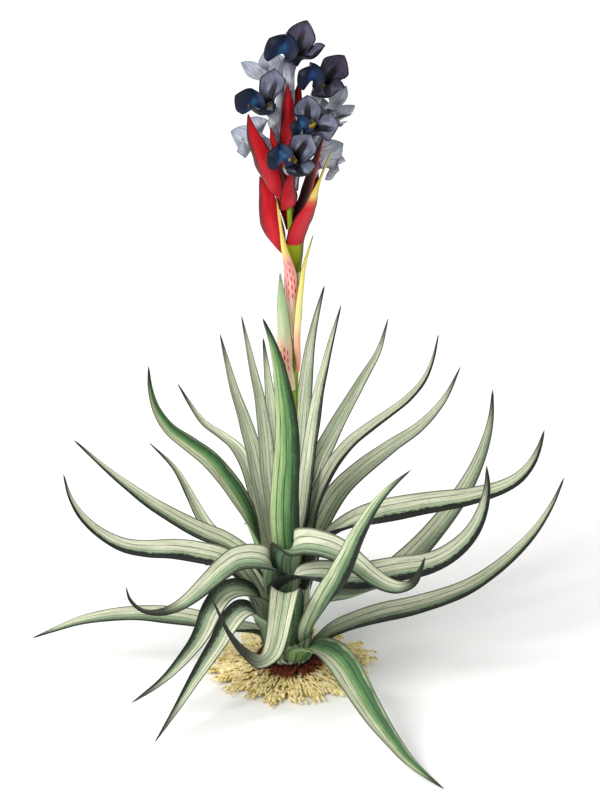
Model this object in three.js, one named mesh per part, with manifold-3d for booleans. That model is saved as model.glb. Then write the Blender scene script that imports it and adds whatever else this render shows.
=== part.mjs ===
// A stricta air plant in flower: a rosette of channelled, tapering leaves on a short stem,
// a scape with thin bracts, a spike of red bracts and dark blue flowers, and a mat of wiry
// roots. Millimetres, +Z up. The root mat rests on z = 0 and the stem stands on the Z axis.
import * as THREE from "three";
import Module from "manifold-3d";

const wasm = await Module();
wasm.setup();

// Driving dimensions, mm.
const GAP = 0.3; // clearance between pieces that touch in the living plant
const STEM_BOTTOM = 3.2;
const STEM_TOP = 46;
const STEM_BOTTOM_RADIUS = 6.2;
const STEM_TOP_RADIUS = 3.8;
const STEM_STRAIGHT_TO = 20; // the stem tapers above this height
const LEAF_RIM = 0.65; // thickness at the margins
const LEAF_STATIONS = 12; // cross-sections along a leaf that bends gently
const STRAIGHT_STATIONS = 9;
const HOOKED_STATIONS = 17;
const LEAF_MIDDLE = 1.1; // thickness along the middle, at the base
const SCAPE_RADIUS = 1.6;
const SCAPE_TIP_RADIUS = 0.9;
const BRACT_STATIONS = 10;
const BRACT_RIM = 0.6;
const BRACT_MIDDLE = 0.8;
const LOBE_WIDTH = 8.4; // a flower lobe
const LOBE_THICKNESS = 0.6;
const LOBE_STATIONS = 6;
const TUBE_BASE_RADIUS = 0.7;
const TUBE_MOUTH_RADIUS = 2;
const ROOT_HEIGHT = 2.6;
const ROOT_RADIUS = 28;

const COLOURS = {
  leaf: 0x9fb694,
  stem: 0x8d7a55,
  sheath: 0x7a4630,
  root: 0xcdb67a,
  scape: 0xa8a850,
  paleBract: 0xd9b09a,
  redBract: 0xc8202f,
  flower: 0x3a4468,
};

const plant = new THREE.Group();
plant.name = "stricta_air_plant";

function addPiece(name, geometry, colour, roughness) {
  const material = new THREE.MeshStandardMaterial({ color: colour, roughness, metalness: 0 });
  const mesh = new THREE.Mesh(geometry, material);
  mesh.name = name;
  plant.add(mesh);
}

// ---- Shared ways of making a solid ----

function vector([x, y, z]) {
  return new THREE.Vector3(x, y, z);
}

// A horizontal unit vector; azimuth 0 is +X and 90 is +Y.
function outward(azimuth) {
  const angle = THREE.MathUtils.degToRad(azimuth);
  return new THREE.Vector3(Math.cos(angle), Math.sin(angle), 0);
}

// Repeats the same way every run.
function randomSource(seed) {
  let state = seed;
  return (low, high) => {
    state = (state * 1664525 + 1013904223) % 4294967296;
    return low + (high - low) * (state / 4294967296);
  };
}

function geometryOf(numbers, indices) {
  const geometry = new THREE.BufferGeometry();
  geometry.setAttribute("position", new THREE.Float32BufferAttribute(numbers, 3));
  geometry.setIndex(indices);
  return geometry;
}

function closedGeometry(vertices, triangles) {
  const numbers = vertices.flatMap((vertex) => vertex.toArray());
  return geometryOf(numbers, triangles.flat());
}

function twoDigits(number) {
  return String(number).padStart(2, "0");
}

function manifoldOf(geometry) {
  return new wasm.Manifold(
    new wasm.Mesh({
      numProp: 3,
      vertProperties: new Float32Array(geometry.attributes.position.array),
      triVerts: new Uint32Array(geometry.index.array),
    }),
  );
}

// Joins closed geometries that overlap into one, and drops any loose scrap.
function joined(geometries) {
  const bodies = wasm.Manifold.union(geometries.map(manifoldOf)).decompose();
  bodies.sort((a, b) => b.volume() - a.volume());
  const mesh = bodies[0].getMesh();
  return geometryOf(mesh.vertProperties, Array.from(mesh.triVerts));
}

// Evenly spaced places along a smooth curve, each with the way the curve runs, the way the
// upper face looks and the way to its right. The face is carried along without twisting,
// and a blade that twists turns it over its first half towards `turnTo`.
function placesAlong(points, count, face, turnTo) {
  const curve = new THREE.CatmullRomCurve3(points, false, "centripetal");
  const carried = face.clone();
  const places = [];
  for (let i = 0; i < count; i += 1) {
    const t = i / (count - 1);
    const along = curve.getTangentAt(t);
    carried.addScaledVector(along, -carried.dot(along)).normalize();
    const up = carried.clone();
    if (turnTo) up.lerp(turnTo, THREE.MathUtils.smoothstep(t, 0, 0.5));
    up.addScaledVector(along, -up.dot(along)).normalize();
    const right = new THREE.Vector3().crossVectors(along, up);
    places.push({ t, point: curve.getPointAt(t), along, up, right });
  }
  return places;
}

// Widens from `base` to 1 at `peak` and narrows to nothing at the tip. The higher `power`
// is, the longer it stays wide; the higher `fall` is, the longer and thinner its point.
function taper(t, base, peak, power, fall = 1) {
  if (t < peak) return base + (1 - base) * Math.sin((Math.PI / 2) * (t / peak));
  return (1 - ((t - peak) / (1 - peak)) ** power) ** fall;
}

// A channelled blade that ends in a point. Each section has `across` points over its upper
// face and as many below; both faces are split into triangles alike, so they never cross.
function blade({ places, across, halfWidth, depth, rim, middle }) {
  const vertices = [];
  const triangles = [];
  const ring = across * 2;
  const last = places.length - 1;
  const centre = (across - 1) / 2;
  const columnOf = (index) => (index < across ? index : ring - 1 - index);
  for (const place of places.slice(0, last)) {
    const half = halfWidth(place.t);
    const rise = depth(place.t);
    const upper = [];
    const lower = [];
    for (let column = 0; column < across; column += 1) {
      const s = column / centre - 1;
      const slope = (2 * rise * s) / half;
      const thick = rim + (middle(place.t) - rim) * (1 - Math.abs(s));
      const drop = thick / Math.hypot(1, slope);
      const over = place.point.clone();
      over.addScaledVector(place.right, half * s).addScaledVector(place.up, rise * s * s);
      const under = over.clone();
      under.addScaledVector(place.right, slope * drop).addScaledVector(place.up, -drop);
      upper.push(over);
      lower.unshift(under);
    }
    vertices.push(...upper, ...lower);
  }
  vertices.push(places[last].point);
  const tip = vertices.length - 1;
  for (let i = 0; i < last; i += 1) {
    for (let index = 0; index < ring; index += 1) {
      const next = (index + 1) % ring;
      const a = i * ring + index;
      const b = i * ring + next;
      if (i === last - 1) {
        triangles.push([a, b, tip]);
        continue;
      }
      const fromRim = Math.abs(columnOf(index) - centre) > Math.abs(columnOf(next) - centre);
      if (fromRim) triangles.push([a, b, b + ring], [a, b + ring, a + ring]);
      else triangles.push([a, b, a + ring], [b, b + ring, a + ring]);
    }
  }
  for (let column = 0; column < across - 1; column += 1) {
    const below = ring - 1 - column;
    triangles.push([column, below, below - 1], [column, below - 1, column + 1]);
  }
  return closedGeometry(vertices, triangles);
}

// A round-sectioned strand of changing radius. With a cup its far end is hollow.
function strand({ points, radii, count, sides, cup }) {
  const vertices = [];
  const triangles = [];
  const places = placesAlong(points, count, new THREE.Vector3(0.31, 0.2, 0.93));
  const addRing = (place, radius) => {
    for (let side = 0; side < sides; side += 1) {
      const angle = (side / sides) * 2 * Math.PI;
      const vertex = place.point.clone().addScaledVector(place.right, radius * Math.cos(angle));
      vertex.addScaledVector(place.up, -radius * Math.sin(angle));
      vertices.push(vertex);
    }
  };
  for (const place of places) addRing(place, radii(place.t));
  const end = places[places.length - 1];
  let rings = places.length;
  if (cup) {
    addRing(end, cup.radius);
    rings += 1;
  }
  const floor = end.point.clone().addScaledVector(end.along, cup ? -cup.depth : 0);
  vertices.push(places[0].point, floor);
  const base = vertices.length - 2;
  const far = vertices.length - 1;
  for (let side = 0; side < sides; side += 1) {
    const next = (side + 1) % sides;
    triangles.push([base, next, side]);
    for (let i = 0; i < rings - 1; i += 1) {
      const a = i * sides + side;
      const b = i * sides + next;
      triangles.push([a, b, b + sides], [a, b + sides, a + sides]);
    }
    triangles.push([(rings - 1) * sides + side, (rings - 1) * sides + next, far]);
  }
  return closedGeometry(vertices, triangles);
}

// ---- Stem: the short upright stock that carries every leaf ----

function stemRadius(z) {
  const t = Math.max(0, (z - STEM_STRAIGHT_TO) / (STEM_TOP - STEM_STRAIGHT_TO));
  return THREE.MathUtils.lerp(STEM_BOTTOM_RADIUS, STEM_TOP_RADIUS, t);
}

addPiece(
  "stem",
  strand({
    points: [new THREE.Vector3(0, 0, STEM_BOTTOM), new THREE.Vector3(0, 0, STEM_TOP)],
    radii: (t) => stemRadius(THREE.MathUtils.lerp(STEM_BOTTOM, STEM_TOP, t)),
    count: 9,
    sides: 20,
  }),
  COLOURS.stem,
  0.8,
);

// ---- Leaves: a rosette, the upper ones rising and the lower ones arching out and down ----
// `foot` is the azimuth and height where the leaf leaves the stem, `through` the points its
// middle line passes on the way to its tip, and `turnTo` the way a twisted leaf turns its face.
// `power` and `fall` shape its taper, where they differ.

const LEAVES = [
  // Left, rising and then swept out to a drawn-out point.
  {
    foot: [198, 33.5], width: 7.4, turnTo: [0.5, -0.8, 0.6],
    through: [
      [-8, -2.5, 40], [-13.4, -3, 55.5], [-24.4, -2, 72], [-36, 0, 81], [-41, 1, 90], [-42, 2, 101],
    ],
  },
  // The fan behind, leaning back, left to right.
  {
    foot: [126, 22.5], width: 7,
    through: [[-10, 28, 44], [-16, 43, 53], [-27, 55, 57], [-34, 62, 66]],
  },
  {
    foot: [126, 33.5], width: 6.6, stations: STRAIGHT_STATIONS,
    through: [[-8, 18, 48.6], [-12, 34, 61], [-17, 46, 72], [-21, 58, 85]],
  },
  {
    foot: [126, 42], width: 5.4, stations: STRAIGHT_STATIONS,
    through: [[-5.7, 10, 52.5], [-8, 28, 70], [-11, 38, 82], [-14.4, 50, 95]],
  },
  {
    foot: [90, 28], width: 6.2, stations: STRAIGHT_STATIONS,
    through: [[-2, 22, 42], [-4, 40, 51], [-5.7, 52, 65], [-8, 62, 82]],
  },
  // The upright one in front of the scape.
  {
    foot: [268, 36], width: 8.8,
    through: [
      [-1.2, -7, 46], [-1.5, -7.4, 61], [-0.6, -7.6, 81], [-1.5, -8.5, 95], [-4.2, -10, 112],
      [-7.8, -12, 124],
    ],
  },
  {
    foot: [90, 39], width: 5.8, stations: STRAIGHT_STATIONS,
    through: [[2, 12, 51.5], [4.8, 33, 78], [6.9, 44, 91], [10.8, 54, 103.5]],
  },
  {
    foot: [54, 42], width: 5.4, stations: STRAIGHT_STATIONS,
    through: [[4.6, 7, 54], [8.7, 23, 79.5], [11.7, 31, 90.4], [15.6, 38, 104.3]],
  },
  {
    foot: [54, 33.5], width: 7.2, stations: STRAIGHT_STATIONS,
    through: [[7, 18, 55], [14, 30, 66], [21, 40, 75], [28, 48, 86], [30, 52, 93]],
  },
  {
    foot: [18, 39], width: 7.4,
    through: [[8, 5, 53], [17, 12, 68], [30, 20, 76], [39, 25, 82], [43, 28, 89], [45, 30, 98]],
  },
  {
    foot: [54, 22.5], width: 8, stations: STRAIGHT_STATIONS,
    through: [[7.4, 10.6, 37], [14, 20, 48], [26, 30, 56], [39, 38, 62], [47, 42, 70], [52, 45, 80]],
  },
  {
    foot: [345, 18], width: 7.8, turnTo: [0, -0.85, 0.5],
    through: [
      [11, 3, 22], [21, 12, 20], [32, 22, 22], [42.5, 31, 29], [51.5, 37, 39], [58, 40, 51],
      [61.4, 41, 64], [62, 42, 74],
    ],
  },
  // Right, in the middle of the rosette.
  {
    foot: [335, 29], width: 8, power: 2, stations: HOOKED_STATIONS, turnTo: [0, -0.7, 0.7],
    through: [
      [7.6, 0, 40], [13, 3, 44.8], [24, 5, 49.3], [39, 6, 52.4], [57, 8, 54.8], [68, 9, 59],
      [74, 10, 66], [77, 10, 76],
    ],
  },
  // Rises at the front, turns right and hooks up at its end.
  {
    foot: [276, 17.5], width: 8.8, power: 2.4, stations: HOOKED_STATIONS, turnTo: [0, -0.7, 0.7],
    through: [
      [-1, -11, 27], [-2, -14.6, 34], [0, -16.2, 39], [3.9, -17, 40.8], [9.3, -17, 41],
      [15.3, -17.5, 40.5], [22.8, -17, 40], [30.9, -16, 41.5], [44.4, -12, 42.5], [54, -8, 48.6],
      [57.3, -7, 54.8], [59.4, -5, 61.4], [59.4, -4, 71],
    ],
  },
  {
    foot: [356, 7], width: 7.4, power: 1.3, turnTo: [0, -0.6, 0.8],
    through: [
      [12, -4, 14], [24, -5, 20], [39, -5, 24], [54, -3, 29], [66, 0, 37], [77, 2, 50],
      [83, 4, 63],
    ],
  },
  {
    foot: [262, 28], width: 9.4, stations: HOOKED_STATIONS, turnTo: [0.3, -0.8, 0.5],
    through: [
      [-1.6, -8.8, 38], [-1.4, -11, 44.5], [0.8, -13, 48], [4.8, -15, 50.3], [10.8, -18, 50.8],
      [15.3, -20, 49.8], [20.4, -22, 46.7], [24.9, -24, 43.7], [29.7, -25, 41.2],
      [34.5, -25.5, 40.8], [37.8, -25.5, 43.1], [40.8, -25, 50.6],
    ],
  },
  // Front right, straight up and out.
  {
    foot: [330, 13], width: 7.4, turnTo: [0, 1, 0],
    through: [
      [5, -11, 17.5], [8.7, -18, 29.5], [15.3, -28, 47], [21.9, -35, 66], [28.2, -39, 78.7],
      [36.3, -42, 88.5],
    ],
  },
  // Front, arching down to the ground, left and right.
  {
    foot: [298, 6], width: 10.4,
    through: [
      [5.7, -14, 14.4], [9.9, -21, 17.3], [14.4, -29, 18.1], [18.9, -38, 15.2], [23.7, -48, 11.4],
      [29.4, -58, 7.2], [36.3, -68, 3.4], [45.9, -79, 1.2],
    ],
  },
  {
    foot: [234, 6], width: 8, fall: 1.2, stations: HOOKED_STATIONS, turnTo: [-0.2, -0.7, 0.7],
    through: [
      [-8, -12.5, 22], [-12.9, -19, 30], [-16.8, -25, 30], [-20.7, -31, 25.4], [-26.7, -38, 18.8],
      [-33.3, -45, 10.6], [-40.2, -51, 1.8],
    ],
  },
  {
    foot: [215, 16], width: 7.8, fall: 1.2, stations: HOOKED_STATIONS, turnTo: [-0.2, -0.7, 0.7],
    through: [
      [-9, -7.6, 28], [-14.9, -10.6, 32.4], [-19.8, -14, 32.2], [-23.7, -20, 28.7],
      [-26.7, -24.5, 23.3], [-31.8, -30, 18.6], [-38, -33, 13], [-47.4, -36, 7.2],
    ],
  },
  // Left, low and nearly level.
  {
    foot: [198, 11.5], width: 6.6, turnTo: [0, -0.6, 0.8],
    through: [
      [-7.6, -1.4, 13.6], [-19, -3, 16], [-33, -2, 18.6], [-48, -1, 19], [-63, 0, 16.4],
      [-78, 1, 10],
    ],
  },
  // Left, curling down and hooking up at its end.
  {
    foot: [236, 22.5], width: 9.4, fall: 1.6, stations: HOOKED_STATIONS, turnTo: [0, -0.7, 0.7],
    through: [
      [-4.4, -10.6, 36], [-4.4, -12.8, 41], [-7, -14.2, 44], [-11, -15, 45.3], [-16.2, -16.5, 45],
      [-23.7, -18.5, 39.3], [-29.7, -20, 34.1], [-36.3, -21, 30.6], [-43.2, -21, 30.2],
      [-48, -20, 34.1], [-48.9, -20, 38.1],
    ],
  },
  {
    foot: [162, 17], width: 7.8, fall: 1.25, turnTo: [0, -0.6, 0.8],
    through: [[-18, 1, 35.2], [-33, 3, 38.6], [-48, 4, 39], [-58, 5, 44], [-65, 5, 53], [-68, 4, 64]],
  },
  {
    foot: [156, 28], width: 7.6, power: 1.3, fall: 1.2, turnTo: [0.2, -0.6, 0.8],
    through: [[-17, 12, 35.4], [-30, 15, 40.5], [-42, 17, 47.6], [-54, 19, 57], [-65, 20, 67.5]],
  },
  {
    foot: [126, 11.5], width: 7.4, stations: STRAIGHT_STATIONS,
    through: [[-12, 25, 19], [-26, 50, 24], [-30.5, 60, 28], [-36, 68, 35], [-43, 72, 41]],
  },
  // Front, arching forward and hooking up.
  {
    foot: [262, 11.5], width: 10, stations: HOOKED_STATIONS, fall: 1.5,
    through: [
      [-1, -13, 24], [-0.8, -18, 34], [-1.2, -22, 37.5], [-1.8, -27, 36.5], [-3, -33, 31.5],
      [-4.8, -38, 25.6], [-8.1, -41, 23.5], [-12.3, -43, 26.5], [-16.8, -44, 32.7],
      [-20.4, -44, 40.4], [-22.5, -44, 46],
    ],
  },
  // The low ones at the back.
  {
    foot: [90, 6], width: 9, stations: STRAIGHT_STATIONS,
    through: [[-1, 20, 14], [1, 40, 19], [4, 58, 14], [5, 70, 4]],
  },
  {
    foot: [90, 17], width: 9, stations: STRAIGHT_STATIONS,
    through: [[-3, 22, 22], [-6, 42, 26], [-10, 58, 22], [-14, 70, 14]],
  },
  {
    foot: [45, 11.5], width: 8.6, stations: STRAIGHT_STATIONS,
    through: [[13, 22, 15], [20, 40, 14], [25, 56, 6]],
  },
  {
    foot: [162, 6], width: 8.6, stations: STRAIGHT_STATIONS,
    through: [[-12, 24, 14], [-20, 42, 14], [-26, 58, 6]],
  },
];

function leaf(row) {
  const { foot: [azimuth, height], width, through, turnTo } = row;
  const { stations = LEAF_STATIONS, power = 1.7, fall } = row;
  const broad = (t) => taper(t, 0.7, 0.2, power, fall);
  const away = outward(azimuth);
  const foot = away.clone().multiplyScalar(stemRadius(height) + GAP).setZ(height);
  const rising = foot.clone().addScaledVector(away, 1.4).add(new THREE.Vector3(0, 0, 2.6));
  const line = [foot, rising, ...through.map(vector)];
  const places = placesAlong(line, stations, away.clone().negate(), turnTo && vector(turnTo));
  return blade({
    places,
    across: 3,
    halfWidth: (t) => Math.max(0.45, (width / 2) * broad(t)),
    depth: (t) => width * broad(t) * (0.15 + 0.08 * t),
    rim: LEAF_RIM,
    middle: (t) => LEAF_MIDDLE - 0.35 * t,
  });
}

LEAVES.forEach((row, index) => {
  addPiece(`leaf_${twoDigits(index + 1)}`, leaf(row), COLOURS.leaf, 0.6);
});

// ---- Withered sheaths: the brown bases of old leaves round the foot of the stem ----

const SHEATH_COUNT = 8;
const COLLAR_INNER = STEM_BOTTOM_RADIUS + GAP;
const COLLAR_OUTER = 7.8;
const COLLAR_HEIGHT = 1.1;

// A closed profile of [radius, height] pairs carried round the Z axis.
function turned(profile, sides) {
  const vertices = [];
  const triangles = [];
  for (let side = 0; side < sides; side += 1) {
    const away = outward((side / sides) * 360);
    for (const [radius, height] of profile) {
      vertices.push(away.clone().multiplyScalar(radius).setZ(height));
    }
  }
  const count = profile.length;
  for (let side = 0; side < sides; side += 1) {
    const next = (side + 1) % sides;
    for (let i = 0; i < count; i += 1) {
      const up = (i + 1) % count;
      const a = side * count + i;
      const b = next * count + i;
      triangles.push([a, b, next * count + up], [a, next * count + up, side * count + up]);
    }
  }
  return closedGeometry(vertices, triangles);
}

function witheredSheath(azimuth, length, width) {
  const away = outward(azimuth);
  const place = (radius, height) => away.clone().multiplyScalar(radius).setZ(height);
  const line = [
    place(COLLAR_INNER + 0.9, STEM_BOTTOM + 1),
    place(COLLAR_INNER + 3, STEM_BOTTOM + 1.5),
    place(COLLAR_INNER + length * 0.7, STEM_BOTTOM + 1.6),
    place(COLLAR_INNER + length, STEM_BOTTOM + 0.9),
  ];
  return blade({
    places: placesAlong(line, 6, new THREE.Vector3(0, 0, 1)),
    across: 3,
    halfWidth: (t) => Math.max(0.45, (width / 2) * taper(t, 0.9, 0.2, 1.6)),
    depth: (t) => width * 0.1 * (1 - t),
    rim: LEAF_RIM,
    middle: () => LEAF_RIM,
  });
}

const sheathRandom = randomSource(5);
const sheathParts = [
  turned(
    [
      [COLLAR_INNER, STEM_BOTTOM],
      [COLLAR_OUTER, STEM_BOTTOM],
      [COLLAR_OUTER - 0.3, STEM_BOTTOM + COLLAR_HEIGHT],
      [COLLAR_INNER, STEM_BOTTOM + COLLAR_HEIGHT],
    ],
    14,
  ),
];
for (let i = 0; i < SHEATH_COUNT; i += 1) {
  const azimuth = (i / SHEATH_COUNT) * 360 + sheathRandom(-8, 8);
  sheathParts.push(witheredSheath(azimuth, sheathRandom(4.4, 6.8), sheathRandom(4.4, 5.6)));
}
addPiece("withered_sheaths", joined(sheathParts), COLOURS.sheath, 0.9);

// ---- Root mat: wiry roots that spread over the ground from a thin felted middle ----

const ROOT_TUFTS = 15;
const ROOTS_PER_TUFT = 3;
const ROOT_CORE_RADIUS = 18.5;

// A low uneven mound with a flat underside, standing on z = 0.
function rootCore(random) {
  const sides = 24;
  const rings = [
    [ROOT_CORE_RADIUS, 0],
    [ROOT_CORE_RADIUS, 0.7],
    [ROOT_CORE_RADIUS * 0.66, 1.7],
    [ROOT_CORE_RADIUS * 0.3, ROOT_HEIGHT],
  ];
  const vertices = [];
  const triangles = [];
  for (const [radius, height] of rings) {
    for (let side = 0; side < sides; side += 1) {
      const away = outward((side / sides) * 360).multiplyScalar(radius * random(0.9, 1.1));
      vertices.push(away.setZ(height * random(0.8, 1)));
    }
  }
  vertices.push(new THREE.Vector3(0, 0, 0), new THREE.Vector3(0, 0, ROOT_HEIGHT * 0.9));
  const under = vertices.length - 2;
  const top = vertices.length - 1;
  for (let side = 0; side < sides; side += 1) {
    const next = (side + 1) % sides;
    triangles.push([under, next, side]);
    for (let i = 0; i < rings.length - 1; i += 1) {
      const a = i * sides + side;
      const b = i * sides + next;
      triangles.push([a, b, b + sides], [a, b + sides, a + sides]);
    }
    triangles.push([top, (rings.length - 1) * sides + side, (rings.length - 1) * sides + next]);
  }
  return closedGeometry(vertices, triangles);
}

const rootRandom = randomSource(11);
const rootParts = [rootCore(rootRandom)];
for (let tuft = 0; tuft < ROOT_TUFTS; tuft += 1) {
  const heading = ((tuft + rootRandom(-0.3, 0.3)) / ROOT_TUFTS) * 360;
  const reach = ROOT_RADIUS * rootRandom(0.78, 1.06);
  for (let root = 0; root < ROOTS_PER_TUFT; root += 1) {
    const azimuth = heading + (root - (ROOTS_PER_TUFT - 1) / 2) * rootRandom(5, 8);
    const side = outward(azimuth + 90);
    const place = (radius, height) =>
      outward(azimuth).multiplyScalar(radius).addScaledVector(side, rootRandom(-1, 1)).setZ(height);
    const length = reach * rootRandom(0.85, 1.05);
    rootParts.push(
      strand({
        points: [place(14, 1), place(20, 1.2), place(length, 0.9)],
        radii: (t) => THREE.MathUtils.lerp(1, 0.6, t),
        count: 4,
        sides: 3,
      }),
    );
  }
}
addPiece("root_mat", joined(rootParts), COLOURS.root, 0.95);

// ---- Scape: the flower stalk, and the thin bracts along it ----

const SCAPE_TOP = 176;
const SCAPE_LINE = [
  [0, 0, STEM_TOP + GAP], [1, 0, 80], [1.6, 0, 112], [1.6, 0, 134], [0.8, 0, 150], [0.4, 0, SCAPE_TOP],
];
const SCAPE_CURVE = new THREE.CatmullRomCurve3(SCAPE_LINE.map(vector), false, "centripetal");

function scapeRadius(z) {
  const t = (z - STEM_TOP) / (SCAPE_TOP - STEM_TOP);
  return THREE.MathUtils.lerp(SCAPE_RADIUS, SCAPE_TIP_RADIUS, t);
}

// The middle of the scape at a height.
function scapeAt(z) {
  let point = SCAPE_CURVE.getPoint(0);
  for (let t = 0; t <= 1 && point.z < z; t += 0.002) point = SCAPE_CURVE.getPoint(t);
  return point.setZ(z);
}

addPiece(
  "scape",
  strand({
    points: SCAPE_LINE.map(vector),
    radii: (t) => THREE.MathUtils.lerp(SCAPE_RADIUS, SCAPE_TIP_RADIUS, t),
    count: 14,
    sides: 10,
  }),
  COLOURS.scape,
  0.6,
);

const SCAPE_BRACTS = [
  // Low on the left, its green blade lying along the scape.
  {
    foot: [255, 95], width: 4.4, fall: 1,
    through: [[-1.2, -4, 104], [-1.5, -5.6, 112], [-1.8, -6.4, 118], [-2.3, -6.6, 127], [-2.6, -6, 136]],
  },
  {
    foot: [318, 101], width: 2.6, fall: 1,
    through: [
      [2.7, -5.2, 113], [3.2, -6, 123], [3.9, -5.4, 130.5],
      [4.6, -3.8, 136.7], [7.2, -1.2, 146.1],
    ],
  },
  {
    foot: [100, 105], width: 4, fall: 1,
    through: [[1.6, 3.4, 116], [1.8, 5, 134], [2, 7, 150]],
  },
  // In front, broad below and drawn out into a long awn.
  {
    foot: [268, 112], width: 4, fall: 3.2,
    through: [
      [1, -4.2, 122], [0.7, -5, 131.4], [0, -6, 137.2],
      [-1.5, -6.9, 144.8], [-3.6, -5.4, 159.8],
    ],
  },
];

const FLORAL_BRACTS = [
  // The lowest, to the right, with an olive foot and a yellow awn.
  {
    foot: [312, 134], width: 7.8, fall: 4,
    through: [
      [2.8, -3.4, 144], [4.9, -5.6, 151.9], [7.4, -7.6, 159.5], [8.2, -8.4, 164.8],
      [9.6, -8.8, 169], [12.6, -9, 177.5],
    ],
  },
  // Low on the left.
  {
    foot: [184, 136.5], width: 8.4, fall: 0.8, turnTo: [0.5, 0.8, 0],
    through: [[-4.6, 0.2, 143.6], [-6.6, 1, 150.6], [-7.2, 3, 157], [-8.6, 4.4, 162.8]],
  },
  // Two behind, right and left.
  {
    foot: [60, 142], width: 6, fall: 1,
    through: [[5.5, 4.5, 152], [7.5, 7, 162], [8, 8.5, 168]],
  },
  {
    foot: [125, 147], width: 6, fall: 1,
    through: [[-2, 6, 157], [-2.8, 9, 167], [-2.8, 10.5, 173]],
  },
  // The long one that sweeps out to the left.
  {
    foot: [184, 154.4], width: 7.8, base: 0.3, fall: 1, turnTo: [0.4, 0.9, 0],
    through: [
      [-4.6, -1.2, 160.4], [-6.8, -4, 167], [-8.6, -6.6, 174.4], [-10.9, -6.6, 181],
      [-12, -5.4, 187.6],
    ],
  },
  // Right, upright.
  {
    foot: [340, 150.5], width: 7.2, fall: 1,
    through: [[6, -2.6, 161], [8.2, -5.2, 171.6], [10, -5.8, 180]],
  },
  // Short, in front.
  {
    foot: [304, 156], width: 7.4, base: 0.25, fall: 0.7,
    through: [
      [1.1, -7, 159], [0.8, -10.8, 163.2], [0.5, -13.6, 167.2],
      [0.6, -15, 171], [0.7, -15.6, 173.4],
    ],
  },
  {
    foot: [94, 163], width: 4.4, fall: 1,
    through: [[-0.2, 5.6, 171], [-1, 8.2, 179], [-1.2, 9.4, 184]],
  },
  {
    foot: [225, 165], width: 4, fall: 1,
    through: [[-3, -3.4, 172], [-4.8, -4.8, 178], [-5.3, -5, 183]],
  },
  // The two that stand up between the topmost flowers.
  {
    foot: [275, 168], width: 5, fall: 1,
    through: [[0.2, -3.6, 177], [0, -4.9, 187], [-0.4, -5.4, 197.2]],
  },
  {
    foot: [78, 169], width: 4.2, fall: 1,
    through: [[1.7, 3, 178], [2.4, 3.4, 187], [3.3, 2.6, 195]],
  },
];

function bract(row, channel) {
  const { foot: [azimuth, height], width, fall, through, turnTo, base = 0.42 } = row;
  const broad = (t) => taper(t, base, 0.35, 2, fall);
  const away = outward(azimuth);
  const foot = scapeAt(height).addScaledVector(away, scapeRadius(height) + GAP);
  const rising = foot.clone().addScaledVector(away, 0.5).add(new THREE.Vector3(0, 0, 1.6));
  const line = [foot, rising, ...through.map(vector)];
  const inwards = away.clone().negate();
  const places = placesAlong(line, BRACT_STATIONS, inwards, turnTo && vector(turnTo));
  return blade({
    places,
    across: 5,
    halfWidth: (t) => Math.max(0.4, (width / 2) * broad(t)),
    depth: (t) => width * broad(t) * channel,
    rim: BRACT_RIM,
    middle: () => BRACT_MIDDLE,
  });
}

SCAPE_BRACTS.forEach((row, index) => {
  addPiece(`scape_bract_${index + 1}`, bract(row, 0.3), COLOURS.paleBract, 0.6);
});
FLORAL_BRACTS.forEach((row, index) => {
  addPiece(`floral_bract_${twoDigits(index + 1)}`, bract(row, 0.24), COLOURS.redBract, 0.5);
});

// ---- Flowers: a slender tube that opens in three cupped, pointed lobes round the anthers ----
// `foot` is the azimuth and height where the tube starts beside the scape, `through` the
// bends of the tube, `mouth` its open end, and each lobe has the point of its `tip`, the
// way its hollow `inside` looks and, where it differs, its width.

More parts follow.
